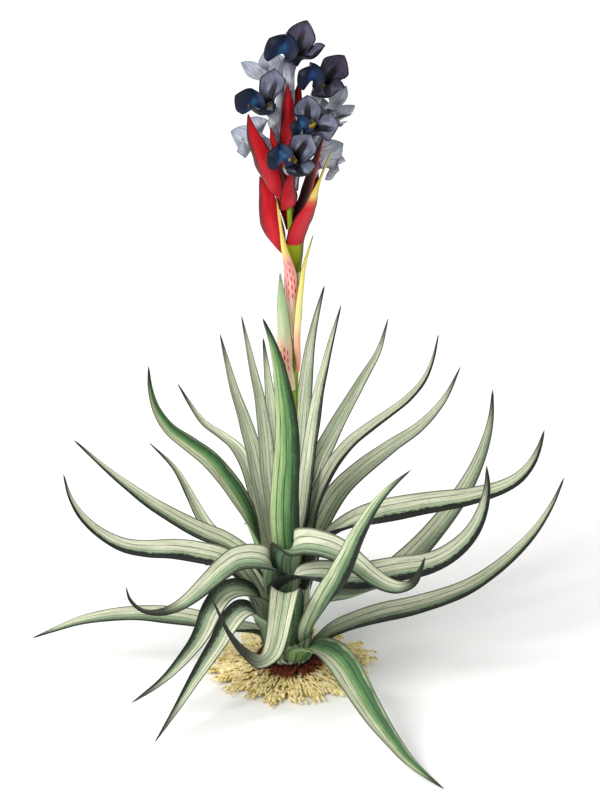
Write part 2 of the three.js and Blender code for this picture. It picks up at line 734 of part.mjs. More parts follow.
const FLOWERS = [
  // The topmost, upright on the end of the scape.
  {
    foot: null, through: [[0.6, -0.4, 189]], mouth: [1.2, -2, 203.9],
    lobes: [
      { tip: [-5.8, -1.6, 210.2], inside: [0.2, 0.9, -0.35], width: 10.4 },
      { tip: [5.4, 4, 213.5], inside: [-0.2, -0.95, 0.1] },
      { tip: [10.7, -4, 208.9], inside: [-0.3, 0, 0.95] },
    ],
  },
  // Upper right and upper left.
  {
    foot: [0, 172], through: [[3.6, -0.5, 180]], mouth: [9.5, -4, 196.4],
    lobes: [
      { tip: [3, -3.6, 200.6], inside: [0.2, 0.9, -0.35] },
      { tip: [16.4, 1, 203.5], inside: [-0.3, -0.9, 0.1] },
      { tip: [12.7, -10, 195.4], inside: [-0.2, 0.1, 0.97], width: 9.8 },
    ],
  },
  {
    foot: [192, 171], through: [[-3.4, -1.6, 178], [-4.8, -3.4, 183.5]], mouth: [-6.4, -6, 190.2],
    lobes: [
      { tip: [-15.9, -6.5, 193.9], inside: [0.2, 0.9, -0.35] },
      { tip: [-4.2, -1, 200.2], inside: [-0.45, -0.85, 0.1] },
      { tip: [-9.6, -12.4, 192], inside: [0.1, 0.15, 0.97], width: 9.4 },
    ],
  },
  // The two that open towards the front.
  {
    foot: [315, 161], through: [[2.8, -3, 169], [4, -4.6, 176]], mouth: [6.5, -9, 184.2],
    lobes: [
      { tip: [0.4, -10.8, 186.2], inside: [0.2, 0.9, -0.35], width: 7 },
      { tip: [5.5, -7.6, 194.5], inside: [0, -0.95, 0.1] },
      { tip: [14.9, -12, 187], inside: [-0.3, -0.6, 0.74], width: 9.4 },
    ],
  },
  {
    foot: [270, 161], through: [[0.6, -4, 167]], mouth: [0.8, -13, 175.2],
    lobes: [
      { tip: [-6.3, -13.8, 178.6], inside: [0.2, 0.9, -0.35] },
      { tip: [6.5, -15, 185.2], inside: [-0.2, -0.95, 0.1] },
      { tip: [5.7, -20.5, 175], inside: [-0.1, 0.1, 0.97], width: 9.8 },
    ],
  },
  // The paler ones behind, left and right.
  {
    foot: [150, 166], through: [[-2.6, 2.4, 175], [-3, 3.6, 184]], mouth: [-3.8, 5, 193.7],
    lobes: [
      { tip: [-14.2, 6, 199.1], inside: [0.4, 0.8, 0.5] },
      { tip: [-7.4, 9, 201], inside: [0, 0.95, -0.1] },
      { tip: [-1.4, 4, 200.6], inside: [-0.3, 0.9, 0.2] },
    ],
  },
  {
    foot: [158, 159.5], through: [[-3, 1, 166.5], [-5.6, 2.2, 171]], mouth: [-9.2, 3, 174.8],
    lobes: [
      { tip: [-17.2, 3, 178], inside: [0.3, 0.9, 0.1] },
      { tip: [-11.2, 7, 180.8], inside: [0.3, 0.9, 0.1] },
      { tip: [-15.4, 1, 172.4], inside: [0.2, 0.8, 0.4] },
    ],
  },
  {
    foot: [52, 160], through: [[4, 3.2, 169], [7.4, 4, 176]], mouth: [12.8, 5, 183.3],
    lobes: [
      { tip: [17, 7.6, 190.6], inside: [-0.4, 0.8, 0.2] },
      { tip: [19.5, 4.6, 185.8], inside: [-0.5, 0.6, 0.4] },
      { tip: [15.6, 1.6, 180.4], inside: [-0.4, 0.5, 0.7] },
    ],
  },
  {
    foot: [45, 147], through: [[4.4, 4.2, 157.5], [7.2, 5.8, 163.5]], mouth: [10.1, 3, 168.6],
    lobes: [
      { tip: [16.1, 3, 174.1], inside: [-0.3, 0.9, 0.2] },
      { tip: [14.9, 1, 166.2], inside: [-0.5, 0.8, 0.3] },
      { tip: [12.5, 9, 172.7], inside: [0.1, 0.9, 0.2] },
    ],
  },
  {
    foot: [85, 155], through: [[2.2, 5.4, 165.5], [3.6, 7.8, 172]], mouth: [6.9, 11, 178.6],
    lobes: [
      { tip: [3.4, 12, 183.1], inside: [0.4, -0.5, 0.6] },
      { tip: [9.4, 13.4, 184.6], inside: [-0.2, -0.9, 0.2] },
      { tip: [11.4, 13, 179.2], inside: [-0.4, 0.1, 0.9] },
    ],
  },
];

// One lobe, from inside the mouth of the tube outwards to its tip. It faces the middle of
// the tube at its foot and turns to `inside` further out.
function lobe(mouth, opening, { tip, inside, width = LOBE_WIDTH }) {
  const end = vector(tip);
  const hollow = vector(inside).normalize();
  const around = end.clone().sub(mouth);
  around.addScaledVector(opening, -around.dot(opening)).normalize();
  const rim = mouth.clone().addScaledVector(around, TUBE_MOUTH_RADIUS);
  const line = [
    rim.clone().addScaledVector(around, -0.4).addScaledVector(opening, -1.6),
    rim.clone().addScaledVector(around, 0.5).addScaledVector(opening, 0.8),
    rim.clone().lerp(end, 0.55).addScaledVector(hollow, -1.3),
    end,
  ];
  return blade({
    places: placesAlong(line, LOBE_STATIONS, around.clone().negate(), hollow),
    across: 5,
    halfWidth: (t) => Math.max(0.5, (width / 2) * taper(t, 0.4, 0.6, 2)),
    depth: (t) => width * taper(t, 0.4, 0.6, 2) * 0.22,
    rim: LOBE_THICKNESS,
    middle: () => LOBE_THICKNESS,
  });
}

function flower({ foot, through, mouth, lobes }) {
  const centre = vector(mouth);
  const opening = new THREE.Vector3();
  for (const { tip } of lobes) opening.add(vector(tip)).sub(centre);
  opening.normalize();
  const ahead = (distance) => centre.clone().addScaledVector(opening, distance);
  let start = scapeAt(SCAPE_TOP).setZ(SCAPE_TOP + GAP);
  if (foot) {
    const clear = scapeRadius(foot[1]) + GAP + TUBE_BASE_RADIUS;
    start = scapeAt(foot[1]).addScaledVector(outward(foot[0]), clear);
  }
  const tube = strand({
    points: [start, ...through.map(vector), ahead(-4), centre],
    radii: (t) => {
      const open = THREE.MathUtils.smoothstep(t, 0.1, 1);
      return THREE.MathUtils.lerp(TUBE_BASE_RADIUS, TUBE_MOUTH_RADIUS, open);
    },
    count: 6,
    sides: 7,
    cup: { radius: 1.35, depth: 2.4 },
  });
  const anthers = strand({ points: [ahead(-3.4), ahead(2)], radii: () => 0.6, count: 2, sides: 5 });
  const petals = lobes.map((row) => lobe(centre, opening, row));
  return joined([tube, anthers, ...petals]);
}

FLOWERS.forEach((row, index) => {
  addPiece(`flower_${twoDigits(index + 1)}`, flower(row), COLOURS.flower, 0.55);
});

export default plant;
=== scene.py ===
# A stricta air plant in flower: leaves on a short stem over a mat of roots, with a scape of
# thin bracts that ends in a spike of red bracts and dark blue flowers. Metres, +Z up.
import random
from math import atan2, cos, degrees, hypot, pi, radians, sin

import bmesh
import bpy
import numpy as np
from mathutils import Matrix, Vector
from numpy.linalg import norm


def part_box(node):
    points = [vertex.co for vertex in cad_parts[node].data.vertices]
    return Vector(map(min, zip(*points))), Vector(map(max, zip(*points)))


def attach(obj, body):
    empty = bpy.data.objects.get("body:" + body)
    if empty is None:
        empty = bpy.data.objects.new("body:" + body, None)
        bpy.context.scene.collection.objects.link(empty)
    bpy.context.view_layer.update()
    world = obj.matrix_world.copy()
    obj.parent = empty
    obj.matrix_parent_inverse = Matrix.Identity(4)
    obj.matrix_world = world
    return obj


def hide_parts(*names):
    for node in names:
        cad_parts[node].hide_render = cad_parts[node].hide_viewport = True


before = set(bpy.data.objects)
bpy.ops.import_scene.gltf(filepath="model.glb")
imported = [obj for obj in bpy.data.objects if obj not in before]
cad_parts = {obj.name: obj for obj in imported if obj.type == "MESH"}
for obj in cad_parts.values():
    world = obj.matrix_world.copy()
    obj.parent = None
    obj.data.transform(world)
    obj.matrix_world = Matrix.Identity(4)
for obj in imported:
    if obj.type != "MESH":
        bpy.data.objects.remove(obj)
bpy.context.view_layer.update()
MM = 0.001

# ---- Camera, light and floor ----
# The plant stands on a plain pale floor under a large soft lamp to the left, with a
# weaker one to the right, and is seen from 26 degrees above the horizon.

scene = bpy.context.scene
ELEVATION = radians(26)
DISTANCE = 3.0
aim = Vector((3.3, 0, 90.8)) * MM
camera_data = bpy.data.cameras.new("camera")
camera_data.lens = 450
camera_data.sensor_width = 36
camera_data.clip_end = 50
camera = bpy.data.objects.new("camera", camera_data)
scene.collection.objects.link(camera)
camera.location = aim + DISTANCE * Vector((0, -cos(ELEVATION), sin(ELEVATION)))
camera.rotation_euler = (pi / 2 - ELEVATION, 0, 0)
scene.camera = camera
scene.view_settings.view_transform = "Standard"

for name, place, size, power in (
    ("key_lamp", (-0.75, -0.6, 0.9), 0.7, 17),
    ("fill_lamp", (0.9, -0.8, 0.5), 0.9, 3.2),
    ("back_lamp", (0.1, 0.9, 0.9), 0.8, 3.5),
):
    lamp_data = bpy.data.lights.new(name, "AREA")
    lamp_data.size = size
    lamp_data.energy = power
    lamp = bpy.data.objects.new(name, lamp_data)
    scene.collection.objects.link(lamp)
    lamp.location = place
    lamp.rotation_euler = (Vector((0, 0, 0.08)) - lamp.location).to_track_quat("-Z", "Y").to_euler()

world = bpy.data.worlds.new("studio")
scene.world = world
world.use_nodes = True
sky = world.node_tree.nodes["Background"].inputs
sky["Color"].default_value = (0.97, 0.98, 1, 1)
sky["Strength"].default_value = 0.56


def linear(hex_colour):
    """The linear colour that a shader takes, from an sRGB hex value."""
    channels = [int(hex_colour[i : i + 2], 16) / 255 for i in (1, 3, 5)]
    return (*(c / 12.92 if c <= 0.04045 else ((c + 0.055) / 1.055) ** 2.4 for c in channels), 1)


def finish(name, roughness, **shader):
    """A new node material whose shader has these plain values."""
    material = bpy.data.materials.new(name)
    material.use_nodes = True
    inputs = material.node_tree.nodes["Principled BSDF"].inputs
    inputs["Roughness"].default_value = roughness
    for socket, value in shader.items():
        inputs[socket.replace("_", " ")].default_value = value
    return material


def add(material, kind, inputs, out=0, ramp=None, **settings):
    """Adds a shader node and gives one of its outputs. Its kind may be followed by its
    operation. An input is a plain value, a hex colour or another node's output, and a ramp
    is a list of (place, hex colour)."""
    tree = material.node_tree
    kind, *operation = kind.split()
    made = tree.nodes.new("ShaderNode" + kind)
    if operation:
        made.operation = operation[0]
    for setting, value in settings.items():
        setattr(made, setting, value)
    for socket, value in inputs.items():
        if isinstance(value, bpy.types.NodeSocket):
            tree.links.new(value, made.inputs[socket])
        else:
            made.inputs[socket].default_value = linear(value) if isinstance(value, str) else value
    if ramp:
        elements = made.color_ramp.elements
        while len(elements) < len(ramp):
            elements.new(1)
        for element, (place, hex_colour) in zip(elements, ramp):
            element.position = place
            element.color = linear(hex_colour)
    return made.outputs[out]


def dress(material, colour, height=None, strength=0.4, depth=0.1):
    """Gives the shader its colour and a surface raised by a height, depth in millimetres."""
    tree = material.node_tree
    shader = tree.nodes["Principled BSDF"]
    tree.links.new(colour, shader.inputs["Base Color"])
    if height:
        relief = {"Height": height, "Strength": strength, "Distance": depth * MM}
        tree.links.new(add(material, "Bump", relief), shader.inputs["Normal"])


# Matt white paint: an even, faintly warm surface with the roller's fine stipple.
floor_paint = finish("matt white floor paint", 0.9)
spot = add(floor_paint, "TexCoord", {}, "Object")
stipple = add(floor_paint, "TexNoise", {"Vector": spot, "Scale": 900})
white = add(floor_paint, "ValToRGB", {0: stipple}, ramp=[(0, "#F6F5F2"), (1, "#FBFAF8")])
dress(floor_paint, white)

bpy.ops.mesh.primitive_plane_add(size=8)
floor = bpy.context.object
floor.name = "floor"
floor.data.materials.append(floor_paint)

# ---- Leaves ----
# Thirty channelled leaves, each a stiff grey-green strip under silvery scales that narrows
# to a dry dark point. They clasp the stem in rings, the lower ones arching out and down.

RING_SIZES = 6, 10  # corners in the section of a CAD blade


def blade_rows(node_name, axis=(0, 0)):
    """The left margin, middle and right margin of a CAD blade, from its foot to its tip, in
    metres. It reads the face that looks at the axis where the blade starts."""
    merged = bmesh.new()
    merged.from_mesh(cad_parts[node_name].data)
    bmesh.ops.remove_doubles(merged, verts=merged.verts, dist=0.01 * MM)
    merged.verts.index_update()
    places = np.array([v.co for v in merged.verts])
    triangles = [[v.index for v in face.verts] for face in merged.faces]
    merged.free()
    beside = [set() for _ in places]
    for triangle in triangles:
        for v in triangle:
            beside[v].update(w for w in triangle if w != v)

    def steps_from(start):
        steps = {start: 0}
        queue = [start]
        for v in queue:
            for w in beside[v]:
                if w not in steps:
                    steps[w] = steps[v] + 1
                    queue.append(w)
        return steps

    # The tip is the one corner from which each step reaches one whole ring of corners.
    for tip in range(len(places)):
        if len(beside[tip]) in RING_SIZES:
            steps = steps_from(tip)
            sizes = np.bincount(list(steps.values()))[1:]
            if sizes.min() == sizes.max():
                break
    around = int(sizes[0])
    across = around // 2
    round_ring = [set() for _ in places]
    for triangle in triangles:
        if len({steps[v] for v in triangle}) == 2:
            for v in triangle:
                round_ring[v].update(w for w in triangle if w != v and steps[w] == steps[v])
    rings = []
    for step in range(1, len(sizes) + 1):
        ring = [next(v for v in steps if steps[v] == step)]
        while len(ring) < around:
            ring.append(next(w for w in round_ring[ring[-1]] if w not in ring))
        if rings:
            turns = [r[k:] + r[:k] for r in (ring, ring[::-1]) for k in range(around)]
            ring = next(r for r in turns if all(w in beside[v] for v, w in zip(rings[-1], r)))
        rings.append(ring)
    rings = np.array(rings[::-1])
    # The two shortest spans of the widest ring are the margins, between the two faces.
    spans = norm(places[np.roll(rings, -1, 1)] - places[rings], axis=2)
    widest = spans[spans.sum(1).argmax()]
    margin = int((widest[:across] + widest[across:]).argmin())
    rings = np.roll(rings, -(margin + 1), 1)
    faces = rings[:, :across], rings[:, across:][:, ::-1]
    upper, lower = sorted(faces, key=lambda f: norm(places[f[0]].mean(0)[:2] - np.array(axis)))
    rows = places[upper[:, [0, across // 2, across - 1]]]
    rows = np.vstack([rows, np.repeat(places[tip][None, None], 3, 1)])
    # Left and right are set so that the face looks away from the other face.
    half = len(upper) // 2
    looks = np.cross(rows[half, 2] - rows[half, 0], rows[half + 1, 1] - rows[half, 1])
    if looks @ (places[upper[half, across // 2]] - places[lower[half, across // 2]]) < 0:
        rows = rows[:, ::-1]
    return rows


def smooth_rows(rows, count):
    """Rows at even steps on the smooth curves that pass through the given rows."""
    ends = [2 * rows[0] - rows[1]], rows, [2 * rows[-1] - rows[-2]]
    padded = np.concatenate(ends)
    at = np.linspace(0, len(rows) - 1, count)
    k = np.minimum(at.astype(int), len(rows) - 2)
    f = (at - k)[:, None, None]
    a, b, c, d = (padded[k + step] for step in range(4))
    cubic = 2 * b + (c - a) * f + (2 * a - 5 * b + 4 * c - d) * f**2
    return (cubic + (3 * b - a - 3 * c + d) * f**3) / 2


def blade(name, rows, across, along, thickness, finishes, relief=None, **traits):
    """A thin blade: a grid laid on the rows, lifted by relief(s, t) and given a thickness. Its UV
    map runs from 0 to 1 across and in centimetres along, and "reach" from 0 to 1 to its tip.
    The first finish is on the face and the second on the back. A trait is a vector that its
    finish reads by name."""
    bpy.ops.mesh.primitive_grid_add(x_subdivisions=across, y_subdivisions=along, size=2)
    piece = bpy.context.object
    piece.name = piece.data.name = name
    mesh = piece.data
    flat = np.array([v.co for v in mesh.vertices])
    side, reach = flat[:, 0], (flat[:, 1] + 1) / 2
    column = np.rint((side + 1) / 2 * across).astype(int)
    step = np.rint(reach * along).astype(int)
    left, middle, right = smooth_rows(rows, along + 1).transpose(1, 0, 2)[:, step]
    s = side[:, None]
    grid = np.zeros((along + 1, across + 1, 3))
    grid[step, column] = middle + s * (right - left) / 2 + s**2 * ((left + right) / 2 - middle)
    if relief:
        looks = np.cross(np.gradient(grid, axis=1), np.gradient(grid, axis=0))
        looks[-1] = looks[-2]
        looks /= norm(looks, axis=2)[..., None] + 1e-12
        lift = np.zeros((along + 1, across + 1))
        lift[step, column] = relief(side, reach)
        grid = grid + looks * lift[..., None]
    mesh.vertices.foreach_set("co", grid[step, column].ravel())
    spine = norm(np.diff(grid[:, across // 2], axis=0), axis=1)
    length = np.concatenate([[0], np.cumsum(spine)])[step] * 100
    corner = np.array([loop.vertex_index for loop in mesh.loops])
    uv = np.stack([(side + 1) / 2, length], 1)[corner]
    mesh.uv_layers[0].uv.foreach_set("vector", uv.ravel())
    mesh.attributes.new("reach", "FLOAT", "POINT").data.foreach_set("value", reach)
    for trait, values in traits.items():
        held = mesh.attributes.new(trait, "FLOAT_VECTOR", "POINT")
        held.data.foreach_set("vector", list(values) * len(reach))
    for material in finishes:
        mesh.materials.append(material)
    group = piece.vertex_groups.new(name="body")
    for v, share in enumerate((1 - side**2) * (1 - reach**3)):
        group.add([v], share, "REPLACE")
    bpy.ops.object.mode_set(mode="EDIT")
    bpy.ops.mesh.select_all(action="SELECT")
    bpy.ops.mesh.remove_doubles(threshold=0.005 * MM)
    bpy.ops.object.mode_set(mode="OBJECT")
    wall = piece.modifiers.new("wall", "SOLIDIFY")
    wall.thickness = thickness
    wall.offset = -1
    wall.vertex_group = group.name
    wall.thickness_vertex_group = 0.4
    wall.material_offset = wall.material_offset_rim = 1
    bpy.ops.object.modifier_apply(modifier=wall.name)
    bpy.ops.object.shade_smooth_by_angle(angle=radians(60))
    return piece


# Settings of a node that mixes colours, of one that multiplies them, and of an eased change.
COLOUR = {"data_type": "RGBA"}
MULTIPLIED = {**COLOUR, "blend_type": "MULTIPLY"}
EASED = {"interpolation_type": "SMOOTHSTEP"}


def blade_places(skin):
    """Sockets of a blade's own measures: across from 0 to 1, centimetres along, aside from 0 on
    its middle line to 1 on its margins, and the reach from foot to tip."""
    across, along, _ = add(skin, "SeparateXYZ", {0: add(skin, "UVMap", {})}).node.outputs
    signed = add(skin, "Math MULTIPLY_ADD", {0: across, 1: 2, 2: -1})
    aside = add(skin, "Math ABSOLUTE", {0: signed})
    reach = add(skin, "Attribute", {}, "Fac", attribute_name="reach")
    return across, along, aside, reach


def streaks(skin, lines, run, low, high, top=1):
    """A mask of streaks along a blade: so many over its width and so many to a centimetre."""
    place = add(skin, "UVMap", {})
    place = add(skin, "VectorMath MULTIPLY", {0: place, 1: (lines, run, 0)})
    noise = add(skin, "TexNoise", {"Vector": place, "Scale": 1, "Detail": 2})
    return add(skin, "MapRange", {0: noise, 1: low, 2: high, 4: top}, **EASED)


def crease(skin, value, centre, width):
    """1 where a value is at the centre, 0 from the width onwards."""
    off = add(skin, "Math SUBTRACT", {0: value, 1: centre})
    off = add(skin, "Math ABSOLUTE", {0: off})
    return add(skin, "MapRange", {0: off, 2: width, 3: 1, 4: 0}, **EASED)


def trait_values(skin, trait):
    """Sockets of a trait's three numbers."""
    vector = add(skin, "Attribute", {}, "Vector", attribute_name=trait)
    return add(skin, "SeparateXYZ", {0: vector}).node.outputs


def side_places(skin, across, trait):
    """Sockets for a blade with painted shade on one side, from a trait of (side, darkness, third
    value):
    how far it is towards that side from 0 to 1, how one-sided it is, and the trait's others."""
    side, dark, third = trait_values(skin, trait)
    off = add(skin, "Math SUBTRACT", {0: across, 1: 0.5})
    toward = add(skin, "Math MULTIPLY_ADD", {0: off, 1: side, 2: 0.5})
    one_sided = add(skin, "Math ABSOLUTE", {0: side})
    return toward, one_sided, dark, third


def leaf_finish(name, even, lit_and_shaded_tones, fresh_tones, grain, ink, rim_from):
    """Leaf skin: bands of colour over its width, painted light and shade towards one margin, grain
    along it, three thin creases, short dark scales, a dark line on the margins and a dry dark tip."""
    skin = finish(name, 0.65, Specular_IOR_Level=0.2, Sheen_Weight=0.05, Sheen_Roughness=0.6)
    across, _, aside, reach = blade_places(skin)
    toward, one_sided, dark, fresh = side_places(skin, across, "habit")
    spot = add(skin, "TexCoord", {}, "Object")
    wander = add(skin, "TexNoise", {"Vector": spot, "Scale": 160})
    wander = add(skin, "Math SUBTRACT", {0: wander, 1: 0.5})
    toward = add(skin, "Math MULTIPLY_ADD", {0: wander, 1: 0.16, 2: toward})
    base = add(skin, "ValToRGB", {0: aside}, ramp=even)
    # The second ramp paints light on one margin and shade on the other; the third gives the leaf's
    # fresh green.
    for share, tones in ((one_sided, lit_and_shaded_tones), (fresh, fresh_tones)):
        over = add(skin, "ValToRGB", {0: toward}, ramp=tones)
        base = add(skin, "Mix", {0: share, 6: base, 7: over}, 2, **COLOUR)
    dry_from, dry_to, paleness = trait_values(skin, "tail")
    # Paler leaves, partly painted light that lifts the shade they stand in.
    base = add(skin, "Mix", {0: paleness, 6: base, 7: "#DDE2C6"}, 2, **COLOUR)
    fine = streaks(skin, 26, 0.9, 0.35, 0.7)
    base = add(skin, "Mix", {0: fine, 6: base, 7: grain}, 2, **MULTIPLIED)
    # Few scales grow at the clasped foot, so that it is bluer, and it is darker with painted shade
    # where the leaves crowd, less so on the paler leaves.
    foot = add(skin, "MapRange", {0: reach, 1: 0.04, 2: 0.36, 3: 0.35, 4: 0}, **EASED)
    clear = add(skin, "Math MULTIPLY_ADD", {0: paleness, 1: -1.6, 2: 1})
    foot = add(skin, "Math MULTIPLY", {0: foot, 1: clear}, use_clamp=True)
    base = add(skin, "Mix", {0: foot, 6: base, 7: "#9BB6A5"}, 2, **MULTIPLIED)
    # The painted shade on the darker margin is wider the darker it is, and its inner edge is
    # hatched.
    hatch = streaks(skin, 34, 7, 0.3, 0.7)
    start = add(skin, "Math MULTIPLY_ADD", {0: dark, 1: -0.3, 2: rim_from})
    start = add(skin, "Math MULTIPLY_ADD", {0: hatch, 1: -0.12, 2: start})
    full = add(skin, "Math ADD", {0: start, 1: 0.12})
    rim = add(skin, "MapRange", {0: toward, 1: start, 2: full, 4: 1.15}, **EASED)
    rim = add(skin, "Math MULTIPLY", {0: rim, 1: dark}, use_clamp=True)
    # Creases, broken here and there, and dashes of bare skin between the scales.
    folds = crease(skin, aside, 0.46, 0.065)
    middle = crease(skin, across, 0.5, 0.022)
    lines = add(skin, "Math MAXIMUM", {0: folds, 1: middle})
    broken = streaks(skin, 7, 0.8, 0.33, 0.5)
    lines = add(skin, "Math MULTIPLY", {0: lines, 1: broken})
    dashes = streaks(skin, 40, 4.5, 0.63, 0.69, 0.6)
    lines = add(skin, "Math MAXIMUM", {0: lines, 1: dashes})
    contour = add(skin, "MapRange", {0: aside, 1: 0.86, 2: 0.97, 4: 0.85}, **EASED)
    lines = add(skin, "Math MAXIMUM", {0: lines, 1: contour})
    drawn = add(skin, "Math MULTIPLY", {0: lines, 1: 0.9})
    dry = add(skin, "MapRange", {0: reach, 1: dry_from, 2: dry_to, 4: 0.92}, **EASED)
    # Ink lines, then the painted shade on the darker margin, then the dry tip.
    for share, tone in ((drawn, ink), (rim, "#0E120C"), (dry, "#15170F")):
        base = add(skin, "Mix", {0: share, 6: base, 7: tone}, 2, **COLOUR)
    height = add(skin, "Math SUBTRACT", {0: fine, 1: lines})
    dress(skin, base, height, 0.5, 0.12)
    return skin


# Living leaf skin under flat silvery scales: matt, pale at the margins, greener and darker in the
# channel, partly painted shade of the channel.
leaf_face = leaf_finish(
    "scaly leaf face",
    [(0, "#9AAA8B"), (0.22, "#B2BC9F"), (0.46, "#CCD0B2"), (0.85, "#D5D7BC"), (1, "#BDC0A0")],
    [(0, "#CACEAF"), (0.1, "#D7D9BF"), (0.4, "#D0D3B8"), (0.52, "#ABB798"), (0.66, "#849A7C"),
     (0.8, "#8E9F81"), (0.92, "#5B6E56"), (1, "#343F30")],
    [(0, "#CDD2AE"), (0.36, "#CCD2B0"), (0.48, "#9DB57C"), (0.6, "#4F8546"), (0.78, "#2C6430"),
     (0.88, "#245228"), (0.95, "#A9BC92")],
    "#D1D5CB", "#232C20", 0.96,
)
# The back has fewer scales and is darker, partly painted shade of the underside, with close dark
# grain.
shaded_leaf_back = leaf_finish(
    "leaf back",
    [(0, "#8CA384"), (0.4, "#7A9574"), (0.75, "#5B755A"), (1, "#33432F")],
    [(0, "#A9B895"), (0.3, "#93A984"), (0.55, "#6F8A69"), (0.8, "#4A6248"), (1, "#2A3A28")],
    [(0, "#A9C486"), (0.35, "#8DB466"), (0.5, "#5F9A48"), (0.75, "#44803C"), (1, "#24502A")],
    "#C0C7BD", "#1D281B", 0.9,
)
# The back of a leaf that stands in full light: a copy of the back with painted light, as pale as a
# face.
lit_leaf_back = leaf_finish(
    "sunlit leaf back",
    [(0, "#9DB38B"), (0.4, "#A9BC96"), (0.8, "#B9C6A2"), (1, "#8FA080")],
    [(0, "#A9B894"), (0.08, "#C9D1B0"), (0.34, "#BFCBA4"), (0.5, "#7F9C74"), (0.68, "#56775A"),
     (0.85, "#3C5A42"), (1, "#1E2C20")],
    [(0, "#B9C795"), (0.12, "#A6BC84"), (0.36, "#8CAC6C"), (0.5, "#5C8A4E"), (0.58, "#6A9659"),
     (0.78, "#447445"), (0.9, "#274B2C"), (1, "#14241A")],
    "#C8D1C3", "#1C2617", 0.9,
)

# A blade's grid: its cells across and along, and its thickness.
LEAF_GRID = 14, 56, 0.8 * MM
# A leaf's painted shading and tint: the side painted darker with shade as it is seen from above
# with its tip up (-1 left, 1 right, 0 neither), how dark and wide that painted shade on the margin
# is, and how fresh and green the leaf is.
LEAF_SHADING_AND_TINT = {
    1: (1, 0.5, 0.9), 2: (0, 0, 0), 3: (1, 0.3, 0.1), 4: (1, 0.35, 0.15), 5: (0, 0, 0.1),
    6: (-1, 0.45, 0.85), 7: (1, 0.5, 0), 8: (1, 0.8, 0), 9: (-1, 0, 0.15), 10: (1, 0.9, 0.1),
    11: (1, 0.3, 0.15), 12: (1, 0.5, 0.2), 13: (1, 1, 0.15), 14: (1, 0.9, 0), 15: (1, 0.8, 0.05),
    16: (1, 0.35, 0), 17: (-1, 0.8, 0), 18: (-1, 0, 0.8), 19: (1, 0.8, 0), 20: (1, 0.7, 0),
    21: (-1, 0.55, 0.1), 22: (-1, 0.5, 0.15), 23: (-1, 1, 0), 24: (-1, 0.8, 0.1), 25: (0, 0.2, 0),
    26: (0, 0.3, 0.1), 27: (0, 0.2, 0), 28: (0, 0.2, 0), 29: (0, 0.2, 0), 30: (0, 0.2, 0),
}
# Leaves whose backs take the copy with painted light.
SUNLIT = (6, 17)
# Where the dry tip begins and is full on the leaves that have a longer one.
TAILS = {16: (0.8, 0.88), 19: (0.78, 0.96), 20: (0.78, 0.96), 22: (0.68, 0.8), 26: (0.6, 0.76)}
# How much paler the leaves of the fan behind are, with scales and with painted light that lifts the
# shade they stand in.
FAN_PALENESS = {
    2: 0.3, 3: 0.6, 4: 0.6, 5: 0.55, 7: 0.45, 8: 0.25, 9: 0.5, 10: 0.35, 11: 0.5, 12: 0.3, 13: 0.15,
}
leaf_random = random.Random(3)
for number, habit in LEAF_SHADING_AND_TINT.items():
    node_name = f"leaf_{number:02d}"
    rows = blade_rows(node_name)
    waves = [leaf_random.uniform(0, 2 * pi) for _ in range(3)]

    def leaf_relief(s, t, waves=waves):
        trough = -0.5 * np.exp(-((s / 0.3) ** 2)) * (1 - t) * np.minimum(1, t / 0.08)
        folds = -0.16 * np.exp(-(((np.abs(s) - 0.57) / 0.12) ** 2))
        waving = 0.22 * np.sin(11 * t + waves[1]) + 0.1 * np.sin(27 * t + waves[2])
        return (trough + folds + waving * np.abs(s) ** 3) * (1 - t**4) * MM

    back = lit_leaf_back if number in SUNLIT else shaded_leaf_back
    tail = (*TAILS.get(number, (0.86, 0.98)), FAN_PALENESS.get(number, 0))
    piece = blade(f"blade_{number:02d}", rows, *LEAF_GRID, [leaf_face, back], leaf_relief,
                  habit=habit, tail=tail)
    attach(piece, "root")
    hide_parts(node_name)

# ---- Stem and leaf bases ----
# A short woody stock, hidden under the broad pale bases by which the leaves clasp it, each
# base lying over its neighbour on one side.

# Old stem wood: dull brown, with rings where leaves have come away.
stem_wood = finish("stem wood", 0.85)
spot = add(stem_wood, "TexCoord", {}, "Object")
ring = add(stem_wood, "TexWave", {"Vector": spot, "Scale": 90, "Distortion": 3}, "Fac",
           bands_direction="Z")
wood = add(stem_wood, "ValToRGB", {0: ring}, ramp=[(0, "#5E5138"), (1, "#9A8B62")])
dress(stem_wood, wood, ring)

low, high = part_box("stem")
STEM_STRAIGHT_TO = 20 * MM
STEM_TOP_RADIUS = 3.8 * MM
stem_radius = (high.x - low.x) / 2


def stem_radius_at(z):
    share = max(0, (z - STEM_STRAIGHT_TO) / (high.z - STEM_STRAIGHT_TO))
    return stem_radius + (STEM_TOP_RADIUS - stem_radius) * share


bpy.ops.mesh.primitive_cylinder_add(
    vertices=32, radius=stem_radius, depth=high.z - low.z, location=(0, 0, (low.z + high.z) / 2)
)
stem = bpy.context.object
stem.name = "stem_stock"
bpy.ops.object.transform_apply(location=True)
bpy.ops.object.mode_set(mode="EDIT")
bpy.ops.mesh.select_all(action="SELECT")
bpy.ops.mesh.bisect(plane_co=(0, 0, STEM_STRAIGHT_TO), plane_no=(0, 0, 1))
bpy.ops.object.mode_set(mode="OBJECT")
for v in stem.data.vertices:
    share = stem_radius_at(v.co.z) / stem_radius
    v.co.x *= share
    v.co.y *= share
stem.data.materials.append(stem_wood)
bpy.ops.object.shade_smooth_by_angle(angle=radians(40))
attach(stem, "root")
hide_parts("stem")


def out(azimuth, radius, height):
    return np.array([radius * cos(azimuth), radius * sin(azimuth), height])


def join(pieces, name):
    """Makes one object of several."""
    bpy.ops.object.select_all(action="DESELECT")
    for piece in pieces:
        piece.select_set(True)
    bpy.context.view_layer.objects.active = pieces[0]
    bpy.ops.object.join()
    pieces[0].name = pieces[0].data.name = name
    return pieces[0]


